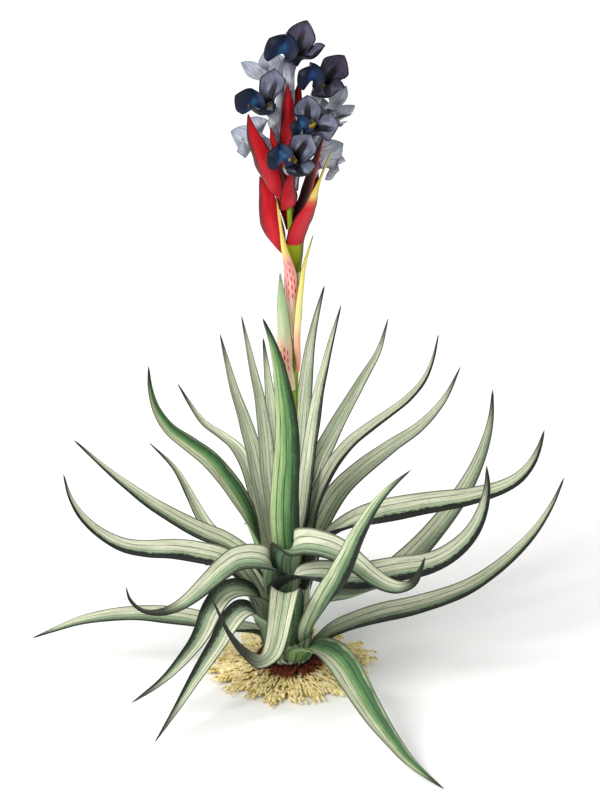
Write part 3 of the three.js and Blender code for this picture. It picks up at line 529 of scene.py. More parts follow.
BASE_GRID = 8, 14, 0.4 * MM
BASE_TAIL = (0.9, 1, 0.35)
BASE_REACH = 0.2  # a base has the colours of a leaf one fifth of the way up
bases = []
for number, habit in LEAF_SHADING_AND_TINT.items():
    foot = blade_rows(f"leaf_{number:02d}")[0, 1]
    azimuth = atan2(foot[1], foot[0])
    rows = []
    for t in np.linspace(0, 1, 7):
        z = foot[2] + (-4.8 + 6.2 * t) * MM
        radius = stem_radius_at(z) + (0.2 + 0.6 * t**1.5) * MM
        half = radians(52 - 30 * t**2)
        rows.append([
            out(azimuth + half, radius + 0.4 * MM, z - 0.6 * MM * t),
            out(azimuth, radius + 0.1 * MM, z),
            out(azimuth - half, radius - 0.1 * MM, z - 0.6 * MM * t),
        ])
    rows.append([out(azimuth, radius + 0.2 * MM, z + MM)] * 3)
    base = blade(f"base_{number:02d}", np.array(rows), *BASE_GRID, [leaf_face, lit_leaf_back],
                 habit=(habit[0], 0, 0), tail=BASE_TAIL)
    reach = [BASE_REACH] * len(base.data.vertices)
    base.data.attributes["reach"].data.foreach_set("value", reach)
    bases.append(base)
leaf_bases = join(bases, "leaf_bases")
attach(leaf_bases, "root")

# ---- Withered sheaths ----
# The papery red-brown bases of dead leaves, which spread in a ragged ring round the foot of
# the stem.

papery = finish("withered leaf sheath", 0.8, Specular_IOR_Level=0.2)
*_, reach = blade_places(papery)
brown = add(papery, "ValToRGB", {0: reach}, ramp=[
    (0, "#2A120B"), (0.4, "#4E2213"), (0.7, "#7E3B20"), (0.88, "#A8562F"), (1, "#C08A50"),
])
veins = streaks(papery, 14, 2.5, 0.36, 0.6)
brown = add(papery, "Mix", {0: veins, 6: brown, 7: "#7A5038"}, 2, **MULTIPLIED)
dress(papery, brown, veins, 0.5, 0.15)

SHEATH_COUNT = 18
SHEATH_GRID = 8, 12, 0.35 * MM
SHEATH_FROM = 6.6
SHEATH_HEIGHT = 4.1
sheath_random = random.Random(7)
sheaths = []
for i in range(SHEATH_COUNT):
    azimuth = 2 * pi * i / SHEATH_COUNT + sheath_random.uniform(-0.14, 0.14)
    length = sheath_random.uniform(3.4, 5.6)
    width = sheath_random.uniform(4.2, 5.4)
    layer = 0.3 * (i % 3)
    rows = []
    for t in np.linspace(0, 1, 6):
        radius = SHEATH_FROM + length * t
        z = SHEATH_HEIGHT + layer + 0.8 * sin(pi * t) - 1.5 * t**2
        half = (width / 2) * (1 - t**3) + 0.02
        turn = half / radius
        rows.append([
            out(azimuth + turn, radius * MM, (z + 0.25 * half) * MM),
            out(azimuth, radius * MM, z * MM),
            out(azimuth - turn, radius * MM, (z + 0.15 * half) * MM),
        ])
    ragged = [sheath_random.uniform(0, 6) for _ in range(2)]

    def crumple(s, t, ragged=ragged):
        return (0.3 * np.sin(9 * s + ragged[0] + 4 * t) + 0.2 * np.sin(17 * t + ragged[1])) * t * MM

    sheaths.append(blade(f"sheath_{i}", np.array(rows), *SHEATH_GRID, [papery] * 2, crumple))
sheath_ring = join(sheaths, "sheath_ring")
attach(sheath_ring, "root")
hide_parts("withered_sheaths")

# ---- Root mat ----
# Hundreds of wiry straw-coloured roots, short and crinkled, lying over each other like a
# fringed rug on a thin felt of older, darker ones.


def curve_through(points, count):
    """Even places on the smooth curve through some points."""
    points = np.array(points, float)
    padded = np.concatenate([[2 * points[0] - points[1]], points, [2 * points[-1] - points[-2]]])
    gaps = np.sqrt(norm(np.diff(padded, axis=0), axis=1))
    knots = np.concatenate([[0], np.cumsum(gaps)])
    found = []
    for k in range(len(points) - 1):
        p, q = padded[k : k + 4], knots[k : k + 4]
        for at in np.linspace(q[1], q[2], 24, endpoint=False):

            def between(a, b, i, j):
                return ((q[j] - at) * a + (at - q[i]) * b) / (q[j] - q[i])

            first, second, third = (between(p[i], p[i + 1], i, i + 1) for i in range(3))
            found.append(between(between(first, second, 0, 2), between(second, third, 1, 3), 1, 2))
    found = np.array([*found, points[-1]])
    run = np.concatenate([[0], np.cumsum(norm(np.diff(found, axis=0), axis=1))])
    even = np.linspace(0, run[-1], count)
    return np.stack([np.interp(even, run, found[:, i]) for i in range(3)], 1)


def tubes(name, material, lines, sides_level, closed=True):
    """Round rods of one material along lines of (place, radius), as one mesh."""
    curve = bpy.data.curves.new(name, "CURVE")
    curve.dimensions = "3D"
    curve.bevel_depth = 1
    curve.bevel_resolution = sides_level
    curve.use_fill_caps = closed
    for places, radii in lines:
        spline = curve.splines.new("POLY")
        spline.points.add(len(places) - 1)
        spline.points.foreach_set("co", np.hstack([places, np.ones((len(places), 1))]).ravel())
        spline.points.foreach_set("radius", radii)
    bpy.ops.object.select_all(action="DESELECT")
    rod = bpy.data.objects.new(name, curve)
    scene.collection.objects.link(rod)
    rod.select_set(True)
    bpy.context.view_layer.objects.active = rod
    bpy.ops.object.convert(target="MESH")
    rod.data.materials.append(material)
    bpy.ops.object.shade_smooth()
    return rod


# Dry root: straw-coloured with ochre and olive patches, dull and slightly ribbed. It is
# redder near the stem.
dry_root = finish("dry root", 0.8, Specular_IOR_Level=0.2)
spot = add(dry_root, "TexCoord", {}, "Object")
patch = add(dry_root, "TexNoise", {"Vector": spot, "Scale": 480, "Detail": 2})
straw = add(dry_root, "ValToRGB", {0: patch},
            ramp=[(0.3, "#B79C50"), (0.42, "#EAD490"), (0.66, "#FBEDBE")])
heart = add(dry_root, "VectorMath LENGTH", {0: spot}, "Value")
near_stem = add(dry_root, "MapRange", {0: heart, 1: 9 * MM, 2: 13.5 * MM, 3: 0.9, 4: 0}, **EASED)
straw = add(dry_root, "Mix", {0: near_stem, 6: straw, 7: "#9A4A26"}, 2, **COLOUR)
dress(dry_root, straw, patch, 0.3, 0.1)

# Felt of old roots: dull olive brown, seen only between the living ones.
felt = finish("old root felt", 0.95)
spot = add(felt, "TexCoord", {}, "Object")
fibre = add(felt, "TexNoise", {"Vector": spot, "Scale": 1400, "Detail": 3})
dull = add(felt, "ValToRGB", {0: fibre}, ramp=[(0.35, "#A08A48"), (0.65, "#DCC88A")])
dress(felt, dull, fibre, 0.6, 0.2)

root_random = random.Random(12)
MAT_PROFILE = [(0, 2.3), (6, 2.1), (12, 1.6), (17, 0.9), (20, 0.45), (36, 0.35)]


def mat_height(radius):
    return np.interp(radius, *zip(*MAT_PROFILE))


def root_line(start, heading, length, width, lift):
    """A crinkled root that lies on the mat."""
    count = max(6, int(length / 0.7))
    phase = root_random.uniform(0, 6.3)
    bend = root_random.uniform(-0.04, 0.04)
    crinkle = root_random.uniform(0.12, 0.3)
    places = []
    x, y = start
    for i in range(count):
        t = i / (count - 1)
        heading += bend
        x += length / count * cos(heading)
        y += length / count * sin(heading)
        off = crinkle * sin(phase + 1.9 * i)
        px, py = x - off * sin(heading), y + off * cos(heading)
        z = mat_height(hypot(px, py)) + width + lift * sin(pi * min(1, t * 1.1))
        places.append((px, py, max(z, width + 0.05)))
    radii = [width * (0.85 + 0.2 * sin(phase + 2.6 * i)) * (1 if i < count - 1 else 0.45)
             for i in range(count)]
    return np.array(places) * MM, [r * MM for r in radii]


# The tufts at the rim: azimuth in degrees, how far they reach and how wide they fan, in
# millimetres, and between them the rim stays short.
TUFTS = [
    (8, 27.5, 3), (20, 28.5, 3), (33, 27, 3), (52, 26, 5), (75, 27, 5), (98, 26, 6), (122, 27, 5),
    (146, 26, 5), (168, 27.5, 4), (186, 27, 3), (203, 25, 3), (220, 26.5, 3.4), (240, 23, 3),
    (258, 27.5, 3), (276, 22, 3), (292, 25, 1.6), (310, 26, 2.4), (332, 26, 3), (350, 25, 3),
]
lines = []
for azimuth, far, fan in TUFTS:
    azimuth = radians(azimuth)
    for layer in range(4):
        for k in range(5):
            aside = fan * (k / 4 - 0.5) * (1 - 0.2 * layer)
            r = far - 8.5 + 1.5 * layer - 1.2 * abs(k - 2) + root_random.uniform(-0.8, 0.8)
            start = (r * cos(azimuth) - aside * sin(azimuth),
                     r * sin(azimuth) + aside * cos(azimuth))
            heading = azimuth + 0.08 * (k - 2) + root_random.gauss(0, 0.1)
            lines.append(root_line(start, heading, root_random.uniform(3.4, 4.6),
                                   root_random.uniform(0.36, 0.46), 0.3 + 0.2 * layer))
# The rest start in rings, and from the rim's radius on only a few degrees beside a tuft.
RIM_RADIUS = 18.5
TUFT_DEGREES = 5.5
ROOT_SPACING = 1.05
for radius in np.arange(20.5, 4, -1.75):
    around = int(2 * pi * radius / ROOT_SPACING)
    for i in range(around):
        azimuth = 2 * pi * (i + root_random.uniform(-0.4, 0.4)) / around
        off = min(abs((degrees(azimuth) - tuft[0] + 180) % 360 - 180) for tuft in TUFTS)
        if radius > RIM_RADIUS and off > TUFT_DEGREES:
            continue
        r = radius + root_random.uniform(-1, 1)
        start = r * cos(azimuth), r * sin(azimuth)
        heading = azimuth + root_random.gauss(0, 0.2)
        lines.append(root_line(start, heading, root_random.uniform(3.2, 5),
                               root_random.uniform(0.36, 0.48), root_random.uniform(0.3, 0.8)))
wires = tubes("root_wires", dry_root, lines, 0)
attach(wires, "root")
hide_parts("root_mat")

FELT_RINGS = 0.5, 4, 8, 12, 15, 17.5, 19.5
bpy.ops.mesh.primitive_circle_add(
    vertices=72, radius=FELT_RINGS[0] * MM, fill_type="TRIFAN",
    location=(0, 0, mat_height(FELT_RINGS[0]) * MM),
)
mat = bpy.context.object
mat.name = "root_felt"
bpy.ops.object.transform_apply(location=True)
bpy.ops.object.mode_set(mode="EDIT")
now = FELT_RINGS[0]
bpy.ops.mesh.select_mode(type="EDGE")
for reach_mm in FELT_RINGS[1:]:
    bpy.ops.mesh.select_all(action="SELECT")
    bpy.ops.mesh.region_to_loop()
    bpy.ops.mesh.extrude_region_move()
    grow = reach_mm / now
    bpy.ops.transform.resize(value=(grow, grow, 1), center_override=(0, 0, 0))
    drop = (mat_height(reach_mm) - mat_height(now)) * MM
    bpy.ops.transform.translate(value=(0, 0, drop))
    now = reach_mm
bpy.ops.mesh.select_all(action="SELECT")
bpy.ops.mesh.region_to_loop()
bpy.ops.mesh.extrude_region_move()
bpy.ops.transform.resize(value=(1, 1, 0), center_override=(0, 0, 0))
bpy.ops.mesh.edge_face_add()
bpy.ops.mesh.select_all(action="SELECT")
bpy.ops.mesh.normals_make_consistent(inside=False)
bpy.ops.object.mode_set(mode="OBJECT")
for v in mat.data.vertices:
    if v.co.z > 0:
        v.co.z += root_random.uniform(-0.12, 0.12) * MM
        spread = 1 + root_random.uniform(-0.05, 0.03)
        v.co.x *= spread
        v.co.y *= spread
mat.data.materials.append(felt)
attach(mat, "root")

# ---- Scape ----
# The flower stalk, a smooth fleshy olive-green rod that leans a little and thins upwards.

green_stalk = finish("fleshy green stalk", 0.5, Specular_IOR_Level=0.2)
spot = add(green_stalk, "TexCoord", {}, "Object")
long_way = add(green_stalk, "VectorMath MULTIPLY", {0: spot, 1: (900, 900, 60)})
fibre = add(green_stalk, "TexNoise", {"Vector": long_way, "Scale": 1, "Detail": 2})
olive = add(green_stalk, "ValToRGB", {0: fibre},
            ramp=[(0.3, "#4C6410"), (0.52, "#7E9418"), (0.75, "#A4B42C")])
dress(green_stalk, olive, fibre, 0.3, 0.1)

SCAPE_LINE = [(0, 0, 46.3), (1, 0, 80), (1.6, 0, 112), (1.6, 0, 134), (0.8, 0, 150), (0.4, 0, 176)]
scape_places = curve_through(SCAPE_LINE, 60)
scape_radii = np.interp(scape_places[:, 2], [46, 130, 155, 174, 176], [1.6, 1.35, 1.3, 0.9, 0.4])
scape_radii += 0.12 * np.exp(-(((scape_places[:, 2] + 4) % 11 - 5.5) / 1.1) ** 2)
stalk = tubes("flower_stalk", green_stalk, [(scape_places * MM, scape_radii * MM)], 4)
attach(stalk, "root")
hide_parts("scape")

# ---- Scape bracts ----
# Thin leaves that sheathe the stalk below the spike: a green one, a yellow one, a pale one
# behind and, in front, a cream one flushed pink and flecked red that ends in a yellow awn.


def bract_finish(name, colours, shaded, grain, ink, highlight_colour, flecks=None):
    """Bract skin: colours from foot to tip, a painted highlight on one side and painted shade on
    the other, long fine grain, dark margins and, for some, red flecks between two reaches."""
    skin = finish(name, 0.5, Specular_IOR_Level=0.12)
    across, along, aside, reach = blade_places(skin)
    toward, _, dark, highlight_share = side_places(skin, across, "habit")
    base = add(skin, "ValToRGB", {0: reach}, ramp=colours)
    fine = streaks(skin, 20, 1.1, 0.36, 0.66)
    base = add(skin, "Mix", {0: fine, 6: base, 7: grain}, 2, **MULTIPLIED)
    # Painted highlight on the lighter half, and painted shade with a ragged edge on the darker.
    hill = crease(skin, toward, 0.36, 0.3)
    clear = add(skin, "MapRange", {0: reach, 1: 0.23, 2: 0.32})
    below_awn = add(skin, "MapRange", {0: reach, 1: 0.5, 2: 0.62, 3: 1, 4: 0})
    for limit in (highlight_share, clear, below_awn):
        hill = add(skin, "Math MULTIPLY", {0: hill, 1: limit})
    base = add(skin, "Mix", {0: hill, 6: base, 7: highlight_colour}, 2, **COLOUR)
    hatch = streaks(skin, 26, 6, 0.3, 0.7)
    ragged = add(skin, "Math MULTIPLY_ADD", {0: hatch, 1: 0.1, 2: toward})
    shade = add(skin, "MapRange", {0: ragged, 1: 0.5, 2: 0.82}, **EASED)
    shade = add(skin, "Math MULTIPLY", {0: shade, 1: dark})
    base = add(skin, "Mix", {0: shade, 6: base, 7: shaded}, 2, **COLOUR)
    if flecks:
        # Dashes in staggered rows, a half by two millimetres.
        u = add(skin, "Math MULTIPLY", {0: across, 1: 5.4})
        row = add(skin, "Math FLOOR", {0: u})
        v = add(skin, "Math MULTIPLY", {0: along, 1: 3.3})
        v = add(skin, "Math MULTIPLY_ADD", {0: row, 1: 0.57, 2: v})
        u = add(skin, "Math FRACT", {0: u})
        v = add(skin, "Math FRACT", {0: v})
        cell = add(skin, "CombineXYZ", {0: u, 1: v})
        cell = add(skin, "VectorMath DIVIDE", {0: cell, 1: (0.2, 0.38, 1)})
        away = add(skin, "VectorMath DISTANCE", {0: cell, 1: (2.5, 0.5 / 0.38, 0)}, "Value")
        fleck = add(skin, "MapRange", {0: away, 1: 0.75, 2: 1.05, 3: 1, 4: 0})
        low, high = flecks
        begin = add(skin, "MapRange", {0: reach, 1: low, 2: low + 0.03})
        end = add(skin, "MapRange", {0: reach, 1: high - 0.03, 2: high, 3: 1, 4: 0})
        inner = add(skin, "MapRange", {0: aside, 1: 0.62, 2: 0.7, 3: 1, 4: 0})
        for limit in (begin, end, inner):
            fleck = add(skin, "Math MULTIPLY", {0: fleck, 1: limit})
        base = add(skin, "Mix", {0: fleck, 6: base, 7: "#C01F3C"}, 2, **COLOUR)
    contour = add(skin, "MapRange", {0: aside, 1: 0.86, 2: 0.98, 4: 0.92}, **EASED)
    base = add(skin, "Mix", {0: contour, 6: base, 7: ink}, 2, **COLOUR)
    dress(skin, base, fine, 0.35, 0.08)
    return skin


def bract_relief(s, t):
    rib = -0.12 * np.exp(-((s / 0.22) ** 2))
    return (rib + 0.15 * np.sin(14 * t) * np.abs(s) ** 3) * (1 - t**4) * MM


# Living bracts, thin and slightly glossy, each with its own run of colour, painted shade and
# painted highlight.
green_bract = bract_finish(
    "thin green bract",
    [(0, "#F1E3B4"), (0.12, "#F3CDAE"), (0.3, "#EFA99A"), (0.42, "#E9C2AC"), (0.52, "#C4CAA6"),
     (0.7, "#AFC099"), (0.9, "#93AA82"), (1, "#485F48")],
    "#8FA57E", "#E5E7D9", "#3A4632", "#F5E6C8", flecks=(0.18, 0.42),
)
yellow_bract = bract_finish(
    "thin yellow bract",
    [(0, "#E59E8A"), (0.28, "#EFB9A2"), (0.38, "#F0D9B0"), (0.46, "#E4DB96"), (0.75, "#DFD678"),
     (0.9, "#CCC364"), (1, "#6E6E2C")],
    "#9A8A2C", "#EDE6C9", "#3E3D1C", "#FBF2B4",
)
flushed_bract = bract_finish(
    "thin cream bract flushed pink",
    [(0, "#F4EAC0"), (0.2, "#F6EBC8"), (0.29, "#F4CFBE"), (0.36, "#EFAEA6"), (0.58, "#ECA49E"),
     (0.62, "#EFC08A"), (0.66, "#E2D672"), (1, "#BDB24C")],
    "#D9B98E", "#F9E7E3", "#5E4630", "#F9D8CE", flecks=(0.3, 0.6),
)
SCAPE_BRACT_GRID = 12, 44, 0.5 * MM
# Each bract's finish and its painted shading: the side with painted shade, how dark it is, and no
# painted highlight.
SCAPE_BRACTS = {
    1: (green_bract, (-1, 0.3, 0)), 2: (yellow_bract, (-1, 0.7, 0)), 3: (green_bract, (1, 0.3, 0)),
    4: (flushed_bract, (-1, 0.2, 0)),
}
for number, (material, habit) in SCAPE_BRACTS.items():
    node_name = f"scape_bract_{number}"
    rows = blade_rows(node_name, (MM, 0))
    piece = blade(f"thin_bract_{number}", rows, *SCAPE_BRACT_GRID, [material] * 2, bract_relief,
                  habit=habit)
    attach(piece, "root")
    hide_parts(node_name)

# ---- Floral bracts ----
# The stiff, boat-shaped red bracts of the spike. The lowest has an olive foot and ends in a
# yellow awn.

# After the run of colour, each takes its painted shade, grain, margin line and painted highlight.
red_bract = bract_finish(
    "waxy red bract",
    [(0, "#7E0812"), (0.12, "#A20C19"), (0.5, "#B4121F"), (0.85, "#AC0E1A"), (1, "#680811")],
    "#2C0308", "#E2BEBF", "#1A0205", "#CC3845",
)
awned_bract = bract_finish(
    "waxy red bract with an olive foot and a yellow awn",
    [(0, "#66780A"), (0.225, "#8C9A14"), (0.24, "#B01622"), (0.54, "#B81C29"), (0.6, "#CC6048"),
     (0.65, "#E4D070"), (1, "#B9B23A")],
    "#33070C", "#F1E9D6", "#220A06", "#D0404C",
)
FLORAL_BRACT_GRID = 14, 44, 0.6 * MM
# The side with painted shade, where it lies in its neighbour's shade, how dark it is, and the
# painted highlight on the other.
BRACT_SHADING = {
    1: (-1, 0.8, 0.5), 2: (1, 0.8, 0.3), 3: (-1, 0.6, 0), 4: (1, 0.4, 0), 5: (1, 0.9, 0.4),
    6: (1, 1, 0.3), 7: (-1, 0.7, 0.6), 8: (1, 0.5, 0), 9: (1, 0.6, 0.3), 10: (1, 0.5, 0.6),
    11: (-1, 1, 0),
}
for number, habit in BRACT_SHADING.items():
    node_name = f"floral_bract_{number:02d}"
    material = awned_bract if number == 1 else red_bract
    rows = blade_rows(node_name, (MM, 0))
    piece = blade(f"red_bract_{number:02d}", rows, *FLORAL_BRACT_GRID, [material] * 2,
                  bract_relief, habit=habit)
    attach(piece, "root")
    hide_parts(node_name)

# ---- Flowers ----
# Ten small flowers, each a slender pale tube that opens in three cupped, pointed petals round
# six yellow anthers. The petals are thin, dark blue outside and grey-lilac inside.


def petal_finish(name, young, old, dusk_tint, vein, petal_highlight, throat_from, throat_to):
    """Petal skin: soft veins, a small painted highlight half way up, a fold darkened by painted
    shade down to the throat and a dark edge. Its tint gives how pale an older flower is and how
    dusky a young one."""
    skin = finish(name, 0.5, Specular_IOR_Level=0.15)
    _, _, aside, reach = blade_places(skin)
    pale, dusk, _ = trait_values(skin, "tint")
    spot = add(skin, "TexCoord", {}, "Object")
    wander = add(skin, "TexNoise", {"Vector": spot, "Scale": 420})
    ragged = add(skin, "Math MULTIPLY_ADD", {0: wander, 1: 0.24, 2: -0.12})
    ragged = add(skin, "Math ADD", {0: ragged, 1: reach})
    dark = add(skin, "ValToRGB", {0: ragged}, ramp=young)
    # A painted highlight half way up, near the middle of the petal.
    high = crease(skin, ragged, 0.45, 0.17)
    near = crease(skin, aside, 0.2, 0.5)
    high = add(skin, "Math MULTIPLY", {0: high, 1: near})
    dark = add(skin, "Mix", {0: high, 6: dark, 7: petal_highlight}, 2, **COLOUR)
    dark = add(skin, "Mix", {0: dusk, 6: dark, 7: dusk_tint}, 2, **MULTIPLIED)
    light = add(skin, "ValToRGB", {0: ragged}, ramp=old)
    base = add(skin, "Mix", {0: pale, 6: dark, 7: light}, 2, **COLOUR)
    veins = streaks(skin, 15, 2.2, 0.4, 0.66)
    base = add(skin, "Mix", {0: veins, 6: base, 7: vein}, 2, **MULTIPLIED)
    # The painted shade of the fold narrows from the throat to a line near the tip, and older
    # flowers have it pale.
    width = add(skin, "MapRange", {0: reach, 1: 0.15, 2: 0.9, 3: 0.5, 4: 0.06})
    share = add(skin, "Math DIVIDE", {0: aside, 1: width})
    fold_shade = add(skin, "MapRange", {0: share, 1: 0.6, 2: 1, 3: 1, 4: 0}, **EASED)
    depth = add(skin, "MapRange", {0: ragged, 1: throat_from, 2: throat_to, 3: 0.95, 4: 0},
                **EASED)
    faint = add(skin, "MapRange", {0: pale, 3: 1, 4: 0.25})
    for limit in (depth, faint):
        fold_shade = add(skin, "Math MULTIPLY", {0: fold_shade, 1: limit})
    base = add(skin, "Mix", {0: fold_shade, 6: base, 7: "#09090F"}, 2, **COLOUR)
    contour = add(skin, "MapRange", {0: aside, 1: 0.86, 2: 0.98}, **EASED)
    end = add(skin, "MapRange", {0: reach, 1: 0.95, 2: 0.995}, **EASED)
    contour = add(skin, "Math MAXIMUM", {0: contour, 1: end})
    strong = add(skin, "MapRange", {0: pale, 3: 0.9, 4: 0.35})
    contour = add(skin, "Math MULTIPLY", {0: contour, 1: strong})
    base = add(skin, "Mix", {0: contour, 6: base, 7: "#07080D"}, 2, **COLOUR)
    dress(skin, base, veins, 0.4, 0.1)
    return skin


# Petal outside: ink blue to black with a painted highlight half way up, or pale grey-blue when old.
petal_outside = petal_finish(
    "petal outside",
    [(0, "#2A3344"), (0.12, "#0C1424"), (0.4, "#15294A"), (0.6, "#10203C"), (0.8, "#0A1326"),
     (1, "#06090F")],
    [(0, "#C2C5CA"), (0.4, "#B4B8C0"), (0.8, "#989DA9"), (1, "#787E8B")],
    "#A8B0D0", "#CECFD4", "#2F6690", 0.05, 0.2,
)
# Petal inside: grey-lilac, deepening to near black in the throat with painted shade, and a faint
# painted highlight half way up.
petal_inside = petal_finish(
    "petal inside",
    [(0, "#0C0B12"), (0.2, "#26263A"), (0.38, "#55576A"), (0.62, "#747687"), (0.85, "#7E8092"),
     (1, "#4C4E66")],
    [(0, "#9C9FA6"), (0.4, "#BABDC3"), (0.8, "#AEB2BB"), (1, "#888D9A")],
    "#A08CA0", "#CDCDD1", "#8C8E9E", 0.5, 0.9,
)
# Flower tube: thin and whitish, with faint grey-lilac veins, turning slate at the mouth.
tube_skin = finish("pale flower tube", 0.5)
spot = add(tube_skin, "TexCoord", {}, "Object")
long_way = add(tube_skin, "VectorMath MULTIPLY", {0: spot, 1: (1400, 1400, 160)})
vein = add(tube_skin, "TexNoise", {"Vector": long_way, "Scale": 1, "Detail": 2})
pale = add(tube_skin, "ValToRGB", {0: vein},
           ramp=[(0.3, "#70727E"), (0.48, "#A4A6B0"), (0.7, "#C6C8CC")])
up_tube = add(tube_skin, "Attribute", {}, "Fac", attribute_name="reach")
mouth_share = add(tube_skin, "MapRange", {0: up_tube, 1: 0.74, 2: 0.96}, **EASED)
pale = add(tube_skin, "Mix", {0: mouth_share, 6: pale, 7: "#3A3C50"}, 2, **COLOUR)
dress(tube_skin, pale, vein, 0.3, 0.08)
# Pollen: mealy deep yellow, with grains a tenth of a millimetre across drawn twice as large.
pollen = finish("mealy yellow pollen", 0.9)
spot = add(pollen, "TexCoord", {}, "Object")
meal = add(pollen, "TexVoronoi", {"Vector": spot, "Scale": 5000})
yellow = add(pollen, "ValToRGB", {0: meal}, ramp=[(0, "#C9A624"), (0.6, "#7A640F")])
dress(pollen, yellow, meal, 0.6, 0.1)

PETAL_WIDTH = 8.4
PETAL_GRID = 16, 28, 0.35 * MM
TUBE_POINTS = 26
TUBE_FOOT_RADIUS = 0.7
TUBE_WALL = 0.3 * MM
FILAMENT_RADIUS = 0.15 * MM
ANTHER_RADIUS = 0.6 * MM
# Millimetres: the start of the tube, its bends and its mouth, and each petal's tip with the way
# its hollow inside looks and its width where it isn't the usual one.
FLOWERS = [
    ((0.4, 0, 176.3), [(0.6, -0.4, 189)], (1.2, -2, 203.9),
     ((-5.8, -1.6, 210.2), (0.2, 0.9, -0.35), 10.4), ((5.4, 4, 213.5), (-0.2, -0.95, 0.1)),
     ((10.7, -4, 208.9), (-0.3, 0, 0.95))),
    ((2.1, 0, 172), [(3.6, -0.5, 180)], (9.5, -4, 196.4), ((3, -3.6, 200.6), (0.2, 0.9, -0.35)),
     ((16.4, 1, 203.5), (-0.3, -0.9, 0.1)), ((12.7, -10, 195.4), (-0.2, 0.1, 0.97), 9.8)),
    ((-1.4, -0.4, 171), [(-3.4, -1.6, 178), (-4.8, -3.4, 183.5)], (-6.4, -6, 190.2),
     ((-15.9, -6.5, 193.9), (0.2, 0.9, -0.35)), ((-4.2, -1, 200.2), (-0.45, -0.85, 0.1)),
     ((-9.6, -12.4, 192), (0.1, 0.15, 0.97), 9.4)),
    ((2.1, -1.5, 161), [(2.8, -3, 169), (4, -4.6, 176)], (6.5, -9, 184.2),
     ((0.4, -10.8, 186.2), (0.2, 0.9, -0.35), 7), ((5.5, -7.6, 194.5), (0, -0.95, 0.1)),
     ((14.9, -12, 187), (-0.3, -0.6, 0.74), 9.4)),
    ((0.6, -2.1, 161), [(0.6, -4, 167)], (0.8, -13, 175.2),
     ((-6.3, -13.8, 178.6), (0.2, 0.9, -0.35)), ((6.5, -15, 185.2), (-0.2, -0.95, 0.1)),
     ((5.7, -20.5, 175), (-0.1, 0.1, 0.97), 9.8)),
    ((-1.2, 1, 166), [(-2.6, 2.4, 175), (-3, 3.6, 184)], (-3.8, 5, 193.7),
     ((-14.2, 6, 199.1), (0.4, 0.8, 0.5)), ((-7.4, 9, 201), (0, 0.95, -0.1)),
     ((-1.4, 4, 200.6), (-0.3, 0.9, 0.2))),
    ((-1.4, 0.8, 159.5), [(-3, 1, 166.5), (-5.6, 2.2, 171)], (-9.2, 3, 174.8),
     ((-17.2, 3, 178), (0.3, 0.9, 0.1)), ((-11.2, 7, 180.8), (0.3, 0.9, 0.1)),
     ((-15.4, 1, 172.4), (0.2, 0.8, 0.4))),
    ((1.8, 1.6, 160), [(4, 3.2, 169), (7.4, 4, 176)], (12.8, 5, 183.3),
     ((17, 7.6, 190.6), (-0.4, 0.8, 0.2)), ((19.5, 4.6, 185.8), (-0.5, 0.6, 0.4)),
     ((15.6, 1.6, 180.4), (-0.4, 0.5, 0.7))),
    ((2.4, 1.5, 147), [(4.4, 4.2, 157.5), (7.2, 5.8, 163.5)], (10.1, 3, 168.6),
     ((16.1, 3, 174.1), (-0.3, 0.9, 0.2)), ((14.9, 1, 166.2), (-0.5, 0.8, 0.3)),
     ((12.5, 9, 172.7), (0.1, 0.9, 0.2))),
    ((0.8, 2.1, 155), [(2.2, 5.4, 165.5), (3.6, 7.8, 172)], (6.9, 11, 178.6),
     ((3.4, 12, 183.1), (0.4, -0.5, 0.6)), ((9.4, 13.4, 184.6), (-0.2, -0.9, 0.2)),
     ((11.4, 13, 179.2), (-0.4, 0.1, 0.9))),
]
MOUTH_RADIUS = 2
PALE_FROM = 6  # the sixth flower and those after it are the older, paler ones
DUSKY = {1: 0.8, 2: 1, 3: 0.15}
OPEN_THROAT = (4, 5)  # the flowers whose anthers stand out of the throat


def unit(v):
    return np.array(v) / norm(v)


def petal_rows(mouth, opening, tip, inside, width):
    """The margins and middle of a petal, from inside the tube's mouth to its tip, in metres.
    It faces the middle of the tube at its foot and turns to `inside` further out."""
    around = tip - mouth
    around = unit(around - (around @ opening) * opening)
    rim = mouth + MOUTH_RADIUS * around
    line = curve_through(
        [rim - 0.4 * around - 1.6 * opening, rim + 0.5 * around + 0.8 * opening,
         rim + 0.55 * (tip - rim) - 1.3 * inside, tip], 16,
    )
    rows = []
    carried = -around
    for i, place in enumerate(line):
        t = i / (len(line) - 1)
        run = unit(line[min(i + 1, len(line) - 1)] - line[max(i - 1, 0)])
        carried = unit(carried - (carried @ run) * run)
        turn = min(t / 0.5, 1)
        turn = turn * turn * (3 - 2 * turn)
        up = (1 - turn) * carried + turn * inside
        up = unit(up - (up @ run) * run)
        right = np.cross(run, up)
        broad = 0.4 + 0.6 * sin(pi / 2 * min(t / 0.6, 1))
        if t > 0.6:
            broad = 1 - ((t - 0.6) / 0.4) ** 2.6
        half = width / 2 * broad
        cup = up * 0.44 * half
        rows.append([place - right * half + cup, place, place + right * half + cup])
    return np.array(rows) * MM


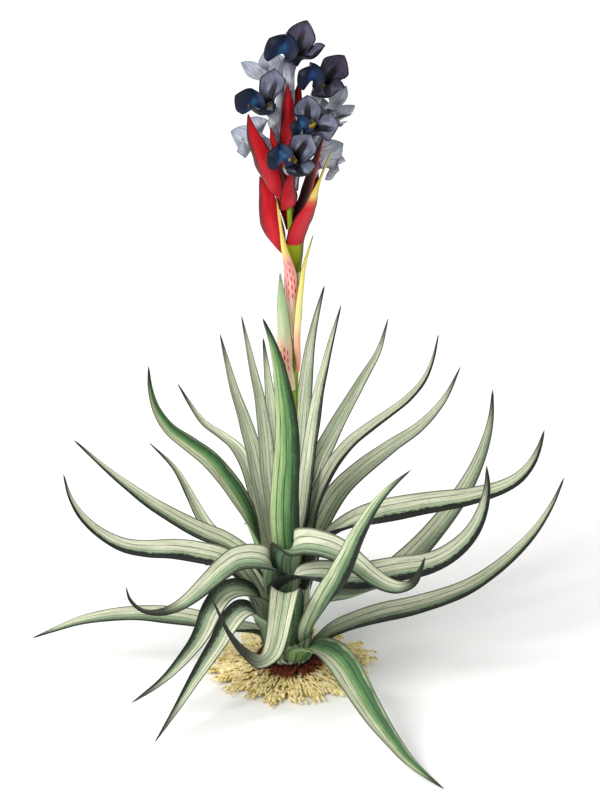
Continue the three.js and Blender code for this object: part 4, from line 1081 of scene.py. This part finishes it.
flower_random = random.Random(8)
for number, (start, bends, mouth, *petals) in enumerate(FLOWERS, 1):
    start, mouth = np.array(start, float), np.array(mouth, float)
    opening = unit(sum(np.array(tip) - mouth for tip, *_ in petals))
    line = curve_through([start, *bends, mouth - 4 * opening, mouth], TUBE_POINTS)
    t = np.linspace(0, 1, TUBE_POINTS)
    open_share = np.clip((t - 0.1) / 0.9, 0, 1)
    radii = open_share**2 * (3 - 2 * open_share)
    radii = TUBE_FOOT_RADIUS + (MOUTH_RADIUS - TUBE_FOOT_RADIUS) * radii
    tube = tubes(f"tube_{number}", tube_skin, [(line * MM, radii * MM)], 4, closed=False)
    places = np.array([v.co for v in tube.data.vertices]) / MM
    ring = norm(places[:, None] - line[None], axis=2).argmin(1)
    reach = tube.data.attributes.new("reach", "FLOAT", "POINT")
    reach.data.foreach_set("value", ring / (TUBE_POINTS - 1))
    wall = tube.modifiers.new("wall", "SOLIDIFY")
    wall.thickness = TUBE_WALL
    wall.offset = -1
    bpy.ops.object.modifier_apply(modifier=wall.name)
    parts = [tube]
    tint = (float(number >= PALE_FROM), DUSKY.get(number, 0), 0)
    for k, (tip, inside, *width) in enumerate(petals):
        ruffle = flower_random.uniform(0, 6.3)

        def petal_relief(s, t, ruffle=ruffle):
            wavy = 0.25 * np.sin(13 * t + 3 * s + ruffle) * np.abs(s) ** 2 * np.minimum(1, t / 0.4)
            keel = -0.3 * np.exp(-((s / 0.16) ** 2)) * (1 - t)
            return (wavy + keel) * (1 - t**5) * MM

        rows = petal_rows(mouth, opening, np.array(tip), unit(inside), *width or [PETAL_WIDTH])
        parts.append(blade(f"petal_{number}_{k}", rows, *PETAL_GRID,
                           [petal_inside, petal_outside], petal_relief, tint=tint))
    side = unit(np.cross(opening, (0.3, -0.9, 0.2)))
    other = np.cross(opening, side)
    stalks = []
    stand = 1.6 if number in OPEN_THROAT else -0.8
    for k in range(6):
        angle = k * pi / 3 + flower_random.uniform(-0.3, 0.3)
        lean = cos(angle) * side + sin(angle) * other
        head = mouth + opening * (stand + flower_random.uniform(-0.4, 0.4)) + lean * 0.95
        low, high = mouth - 3 * opening + 0.4 * lean, mouth - opening + 0.6 * lean
        stalks.append((np.array([low, high, head]) * MM, [FILAMENT_RADIUS] * 3))
        bpy.ops.mesh.primitive_ico_sphere_add(
            subdivisions=2, radius=ANTHER_RADIUS, location=head * MM
        )
        anther = bpy.context.object
        anther.scale = (0.85, 0.85, 1.2)
        bpy.ops.object.transform_apply(location=True, scale=True)
        bpy.ops.object.shade_smooth()
        anther.data.materials.append(pollen)
        parts.append(anther)
    parts.append(tubes(f"filaments_{number}", tube_skin, stalks, 1))
    flower = join(parts, f"bloom_{number:02d}")
    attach(flower, "root")
    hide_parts(f"flower_{number:02d}")
